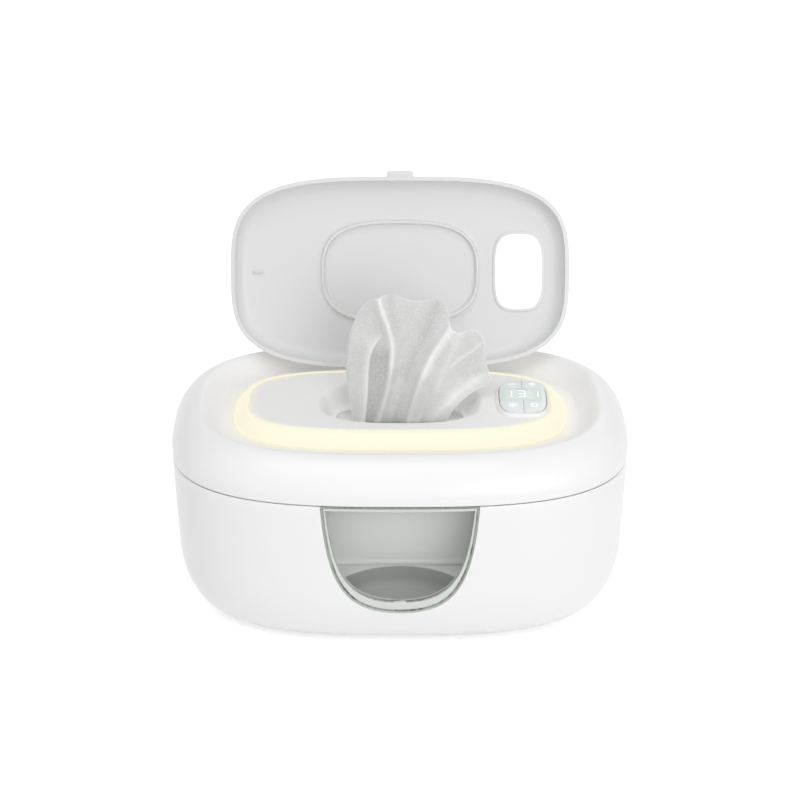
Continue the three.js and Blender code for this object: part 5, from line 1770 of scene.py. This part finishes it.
def folds_at(z):
    """Each fold's place, and how much of it is left, at a height to a twentieth of a millimetre."""
    level = round(z * FOLD_LEVELS)
    if level not in known_folds:
        z = level / FOLD_LEVELS
        found = []
        for line, begins, ends, *sizes in FOLDS:
            kept = soft_step(z, begins - FOLD_FADE, begins) * (1 - soft_step(z, ends - FOLD_FADE, ends))
            if kept > 0:
                found.append((fold_x(line, z), kept, *sizes))
        known_folds[level] = found, fold_x(LEFT_FOLD, z), fold_x(MAIN_FOLD, z)
    return known_folds[level]


def cloth_at(x, z):
    """How far the cloth comes forward, and its painted light and shade, at a place."""
    high = shade = 0.0
    found, low, top = folds_at(z)
    for at, kept, height, left, right, tone, tone_left, tone_right in found:
        high += kept * height * crest(x - at, left if x < at else right)
        shade += kept * tone * crest(x - at, tone_left if x < at else tone_right)
    # The panel between the left and main folds lies deeper and is painted darker, as shade.
    recess = soft_step(x, low + 0.1, low + 1.1) * (1 - soft_step(x, top - 3.2, top - 0.8))
    recess *= 1 - soft_step(z, RECESS_TOP - 14, RECESS_TOP)
    return high - RECESS_DEPTH * recess, shade + RECESS_PAINTED_SHADE * recess


def waves(x, z, wide, high, layer):
    """A slow unevenness over the cloth, from about -1 to 1, with waves of these sizes."""
    return noise.noise(Vector((x / wide, z / high, layer)))


# The free edge gets a painted highlight along a narrow rim.
RIM_SHARE, RIM_PAINTED_HIGHLIGHT = 0.008, 0.6
CRUMPLE, FINE_CRUMPLE, CLOUDING = 0.3, 0.06, 0.16
WIPE_THICK = 0.45
bpy.ops.object.select_all(action="DESELECT")
bpy.ops.mesh.primitive_grid_add(x_subdivisions=WIPE_COLUMNS, y_subdivisions=WIPE_ROWS, size=1)
wipe = bpy.context.object
wipe.name = wipe.data.name = "wipe"
wipe_painted_light = wipe.data.attributes.new("shade", "FLOAT", "POINT")
for vertex in wipe.data.vertices:
    u, v = min(max(vertex.co.x + 0.5, 0), 1), min(max(vertex.co.y + 0.5, 0), 1)
    x, z = wipe_place(u, v)
    high, shade = cloth_at(x, z)
    high *= between(FOLD_START, 1, ease(min(v / FOLD_FULL, 1)))
    near_edge = max(1 - 14 * (1 - v), 0)
    crumple = CRUMPLE * v * waves(x, z, 9, 9, 3) + FINE_CRUMPLE * waves(x, z, 2.5, 2.5, 7)
    y = WELL_BACK + WIPE_LEAN * v * v - high - crumple + WIPE_CURL * near_edge**2
    vertex.co = (mm(x), mm(y), mm(z))
    rim = max(1 - min(1 - v, 1 - u, u) / RIM_SHARE, 0)
    # The stored value is painted light: the folds' highlights and shade, the rim's highlight, and a slow random
    # clouding of the cloth's own tone.
    wipe_painted_light.data[vertex.index].value = shade + RIM_PAINTED_HIGHLIGHT * rim + CLOUDING * waves(x, z, 11, 16, 5)
apply_modifier(wipe, "SOLIDIFY", thickness=mm(WIPE_THICK), offset=0)
print("wipe", [round(d * 1000, 1) for d in wipe.dimensions], "mm")

# %% [markdown]
# Wet wipes are spunlace: a felt of fine fibres, matt and slightly see-through. It is smooth from afar, and close
# up it is full of tiny white flecks where fibres are knotted. The flecks and fibres come from noise textures,
# and the painted light and shade stored on the mesh runs through a ramp from the painted shade of the valleys to
# the painted highlight of the ridges.

# %% Make the cloth of the wipe
wipe_cloth, wipe_tree, wipe_shader = new_material("wipe_cloth")
wipe_nodes, wipe_links = wipe_tree.nodes, wipe_tree.links
wipe_space = wipe_nodes.new("ShaderNodeTexCoord")


def wipe_noise(scale, detail, low, high, to_low, to_high):
    """A noise over the wipe whose values from low to high are spread from to_low to to_high."""
    texture = wipe_nodes.new("ShaderNodeTexNoise")
    texture.inputs["Scale"].default_value = scale
    texture.inputs["Detail"].default_value = detail
    spread = wipe_nodes.new("ShaderNodeMapRange")
    for name, value in (("From Min", low), ("From Max", high), ("To Min", to_low), ("To Max", to_high)):
        spread.inputs[name].default_value = value
    wipe_links.new(wipe_space.outputs["Object"], texture.inputs["Vector"])
    wipe_links.new(texture.outputs["Fac"], spread.inputs["Value"])
    return spread.outputs["Result"]


flecks = wipe_noise(1300, 3, 0.5, 0.8, 0, 0.5)
clouds = wipe_noise(240, 4, 0.3, 0.7, 0.955, 1.015)
fibres = wipe_noise(900, 6, 0.2, 0.8, 0, 1)
cloth_painted_light = wipe_nodes.new("ShaderNodeAttribute")
cloth_painted_light.attribute_name = "shade"
painted_light_share = wipe_nodes.new("ShaderNodeMapRange")
painted_light_share.inputs["From Min"].default_value = -1
painted_light_share.inputs["From Max"].default_value = 1
# The ramp runs from painted shade through the cloth's plain tone to painted highlight.
painted_tones = wipe_nodes.new("ShaderNodeValToRGB")
painted_tones.color_ramp.elements[0].color = srgb(188, 189, 188)
painted_tones.color_ramp.elements[1].color = srgb(252, 252, 251)
face_tone = painted_tones.color_ramp.elements.new(0.5)
face_tone.color = srgb(215, 216, 215)
fleck_mix = colour_mix(wipe_nodes)
fleck_mix.inputs["B"].default_value = srgb(255, 255, 255)
cloud_mix = colour_mix(wipe_nodes)
cloud_mix.blend_type = "MULTIPLY"
cloud_mix.inputs["Factor"].default_value = 1
cloth_bump = wipe_nodes.new("ShaderNodeBump")
cloth_bump.inputs["Strength"].default_value = 0.35
cloth_bump.inputs["Distance"].default_value = mm(0.15)
wire(
    wipe_links,
    (cloth_painted_light, "Fac", painted_light_share, "Value"),
    (painted_light_share, "Result", painted_tones, "Fac"),
    (painted_tones, "Color", cloud_mix, "A"),
)
wipe_links.new(clouds, cloud_mix.inputs["B"])
wipe_links.new(cloud_mix.outputs["Result"], fleck_mix.inputs["A"])
wipe_links.new(flecks, fleck_mix.inputs["Factor"])
wipe_links.new(fleck_mix.outputs["Result"], wipe_shader.inputs["Base Color"])
wipe_links.new(fibres, cloth_bump.inputs["Height"])
wipe_links.new(cloth_bump.outputs["Normal"], wipe_shader.inputs["Normal"])
wipe_shader.inputs["Roughness"].default_value = 0.92
wipe_shader.inputs["Specular IOR Level"].default_value = 0.2
wipe_shader.inputs["Sheen Weight"].default_value = 0.1
wipe_shader.inputs["Sheen Roughness"].default_value = 0.4
settle(wipe, "cover", wipe_cloth, ["wipe_sheet"], smooth=math.radians(80))
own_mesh(wipe)
print("wipe finished")

# %% [markdown]
# ## The parts inside
# The heater, the boards, the pins, the screws and the feet keep their construction shapes, which
# already look right, and get finishes of their own: zinc-plated and rolled metal with fine lines
# along one direction, green laminate with tracks and solder pads, amber film with an etched
# conductor, needled felt, and black, grey and white plastics and rubber.


# %% Node groups for metal and boards
def make_metal_group():
    """Brushed or rolled metal. The stretch says along which axis its fine lines run."""
    group, given, result = new_group(
        "brushed_metal",
        [("Colour", "Color"), ("Shade", "Color"), ("Stretch", "Vector")],
        [("Colour", "Color"), ("Roughness", "Float"), ("Normal", "Vector")],
    )
    nodes, links = group.nodes, group.links
    place = nodes.new("ShaderNodeTexCoord")
    stretched = nodes.new("ShaderNodeVectorMath")
    stretched.operation = "MULTIPLY"
    lines = nodes.new("ShaderNodeTexNoise")
    lines.inputs["Scale"].default_value = 1
    lines.inputs["Detail"].default_value = 4
    tint = colour_mix(nodes)
    gloss = nodes.new("ShaderNodeMapRange")
    gloss.inputs["To Min"].default_value = 0.22
    gloss.inputs["To Max"].default_value = 0.42
    bump = nodes.new("ShaderNodeBump")
    bump.inputs["Strength"].default_value = 0.3
    bump.inputs["Distance"].default_value = mm(0.03)
    wire(
        links,
        (place, "Object", stretched, 0),
        (given, "Stretch", stretched, 1),
        (stretched, "Vector", lines, "Vector"),
        (lines, "Fac", tint, "Factor"),
        (given, "Colour", tint, "A"),
        (given, "Shade", tint, "B"),
        (lines, "Fac", gloss, "Value"),
        (lines, "Fac", bump, "Height"),
        (tint, "Result", result, "Colour"),
        (gloss, "Result", result, "Roughness"),
        (bump, "Normal", result, "Normal"),
    )
    return group


def make_track_group():
    """Lines and dots on a ground, for the copper of a board and for the heater's conductor."""
    group, given, result = new_group(
        "printed_tracks",
        [
            ("Ground", "Color"),
            ("Track", "Color"),
            ("Pad", "Color"),
            ("Scale", "Float"),
            ("Track Width", "Float"),
            ("Pad Size", "Float"),
        ],
        [("Colour", "Color"), ("Pads", "Float"), ("Height", "Float")],
    )
    nodes, links = group.nodes, group.links
    place = nodes.new("ShaderNodeTexCoord")
    cells = nodes.new("ShaderNodeTexVoronoi")
    cells.distance = "CHEBYCHEV"
    edges = nodes.new("ShaderNodeTexVoronoi")
    edges.feature = "DISTANCE_TO_EDGE"
    on_track = math_node(nodes, "LESS_THAN")
    on_pad = math_node(nodes, "LESS_THAN")
    raised = math_node(nodes, "MAXIMUM")
    tracks = colour_mix(nodes)
    pads = colour_mix(nodes)
    for texture in (cells, edges):
        links.new(place.outputs["Object"], texture.inputs["Vector"])
        links.new(given.outputs["Scale"], texture.inputs["Scale"])
    wire(
        links,
        (edges, "Distance", on_track, 0),
        (given, "Track Width", on_track, 1),
        (cells, "Distance", on_pad, 0),
        (given, "Pad Size", on_pad, 1),
        (on_track, 0, tracks, "Factor"),
        (given, "Ground", tracks, "A"),
        (given, "Track", tracks, "B"),
        (on_pad, 0, pads, "Factor"),
        (tracks, "Result", pads, "A"),
        (given, "Pad", pads, "B"),
        (on_track, 0, raised, 0),
        (on_pad, 0, raised, 1),
        (pads, "Result", result, "Colour"),
        (on_pad, 0, result, "Pads"),
        (raised, 0, result, "Height"),
    )
    return group


metal_group, track_group = make_metal_group(), make_track_group()
print("groups", metal_group.name, track_group.name)


# %% Finishes of the inner parts
def metal(name, colour, shade, stretch):
    """A metal from the shared group."""
    material, tree, shader = new_material(name)
    surface = tree.nodes.new("ShaderNodeGroup")
    surface.node_tree = metal_group
    surface.inputs["Colour"].default_value = colour
    surface.inputs["Shade"].default_value = shade
    surface.inputs["Stretch"].default_value = stretch
    for socket in ("Roughness", "Normal"):
        tree.links.new(surface.outputs[socket], shader.inputs[socket])
    tree.links.new(surface.outputs["Colour"], shader.inputs["Base Color"])
    shader.inputs["Metallic"].default_value = 1
    return material


def printed(name, ground, track, pad, scale, track_width, pad_size, roughness):
    """A board or film from the shared group. Only its pads are bare metal."""
    material, tree, shader = new_material(name)
    surface = tree.nodes.new("ShaderNodeGroup")
    surface.node_tree = track_group
    for socket, value in (("Ground", ground), ("Track", track), ("Pad", pad)):
        surface.inputs[socket].default_value = value
    for socket, value in (("Scale", scale), ("Track Width", track_width), ("Pad Size", pad_size)):
        surface.inputs[socket].default_value = value
    relief = tree.nodes.new("ShaderNodeBump")
    relief.inputs["Strength"].default_value = 0.5
    relief.inputs["Distance"].default_value = mm(0.05)
    wire(
        tree.links,
        (surface, "Colour", shader, "Base Color"),
        (surface, "Pads", shader, "Metallic"),
        (surface, "Height", relief, "Height"),
        (relief, "Normal", shader, "Normal"),
    )
    shader.inputs["Roughness"].default_value = roughness
    return material


ALONG_X, ALONG_Z = (60, 1500, 1500), (1200, 1200, 80)
steel = metal("zinc_steel", srgb(196, 198, 202), srgb(172, 175, 180), ALONG_Z)
pin_steel = metal("pin_steel", srgb(206, 207, 210), srgb(184, 186, 190), ALONG_X)
rolled = metal("rolled_aluminium", srgb(202, 203, 206), srgb(186, 188, 192), ALONG_X)
board_green = printed(
    "board_green", srgb(38, 92, 58), srgb(58, 122, 78), srgb(206, 204, 196), 210, 0.07, 0.16, 0.4
)
heater_amber = printed(
    "heater_amber", srgb(186, 112, 40), srgb(122, 66, 22), srgb(150, 84, 30), 120, 0.09, 0.1, 0.3
)
felt, _, felt_shader = moulded(
    "needled_felt",
    srgb(214, 208, 194),
    srgb(188, 180, 164),
    roughness=0.9,
    grain=1.0,
    grain_size=900,
    mottle=1.0,
)
felt_shader.inputs["Sheen Weight"].default_value = 0.3
base_white, _, _ = moulded("base_white", srgb(240, 240, 240), srgb(234, 234, 235), roughness=0.5, grain=0.6)
liner_white, _, _ = moulded("liner_white", srgb(232, 233, 231), srgb(226, 227, 225), roughness=0.5, grain=0.5)
foot_grey, _, _ = moulded(
    "foot_rubber", srgb(92, 93, 95), srgb(78, 79, 82), roughness=0.8, grain=0.8, grain_size=1400
)
inlet_black, _, _ = moulded("inlet_black", srgb(34, 34, 35), srgb(26, 26, 27), roughness=0.5, grain=0.5)
cut_off_cream, _, _ = moulded(
    "cut_off_ceramic", srgb(226, 222, 208), srgb(206, 200, 184), roughness=0.6, grain=0.5
)

CORNERS = ("front_left", "front_right", "back_left", "back_right")
finishes = {
    "base_plate": base_white,
    "cover_liner": liner_white,
    "tub_gasket": silicone,
    "heater_plate": rolled,
    "heater_film": heater_amber,
    "insulation_pad": felt,
    "thermal_cut_off": cut_off_cream,
    "power_board": board_green,
    "led_board": board_green,
    "control_board": board_green,
    "power_inlet": inlet_black,
    "cover_hinge_pin": pin_steel,
    "lid_hinge_pin": pin_steel,
}
for corner in CORNERS:
    finishes["foot_" + corner] = foot_grey
    finishes["base_screw_" + corner] = steel
    finishes["cover_screw_" + corner] = steel
for node, finish in finishes.items():
    for place in bpy.data.objects[node].material_slots:
        place.material = finish
print(len(finishes), "inner parts have their finish")
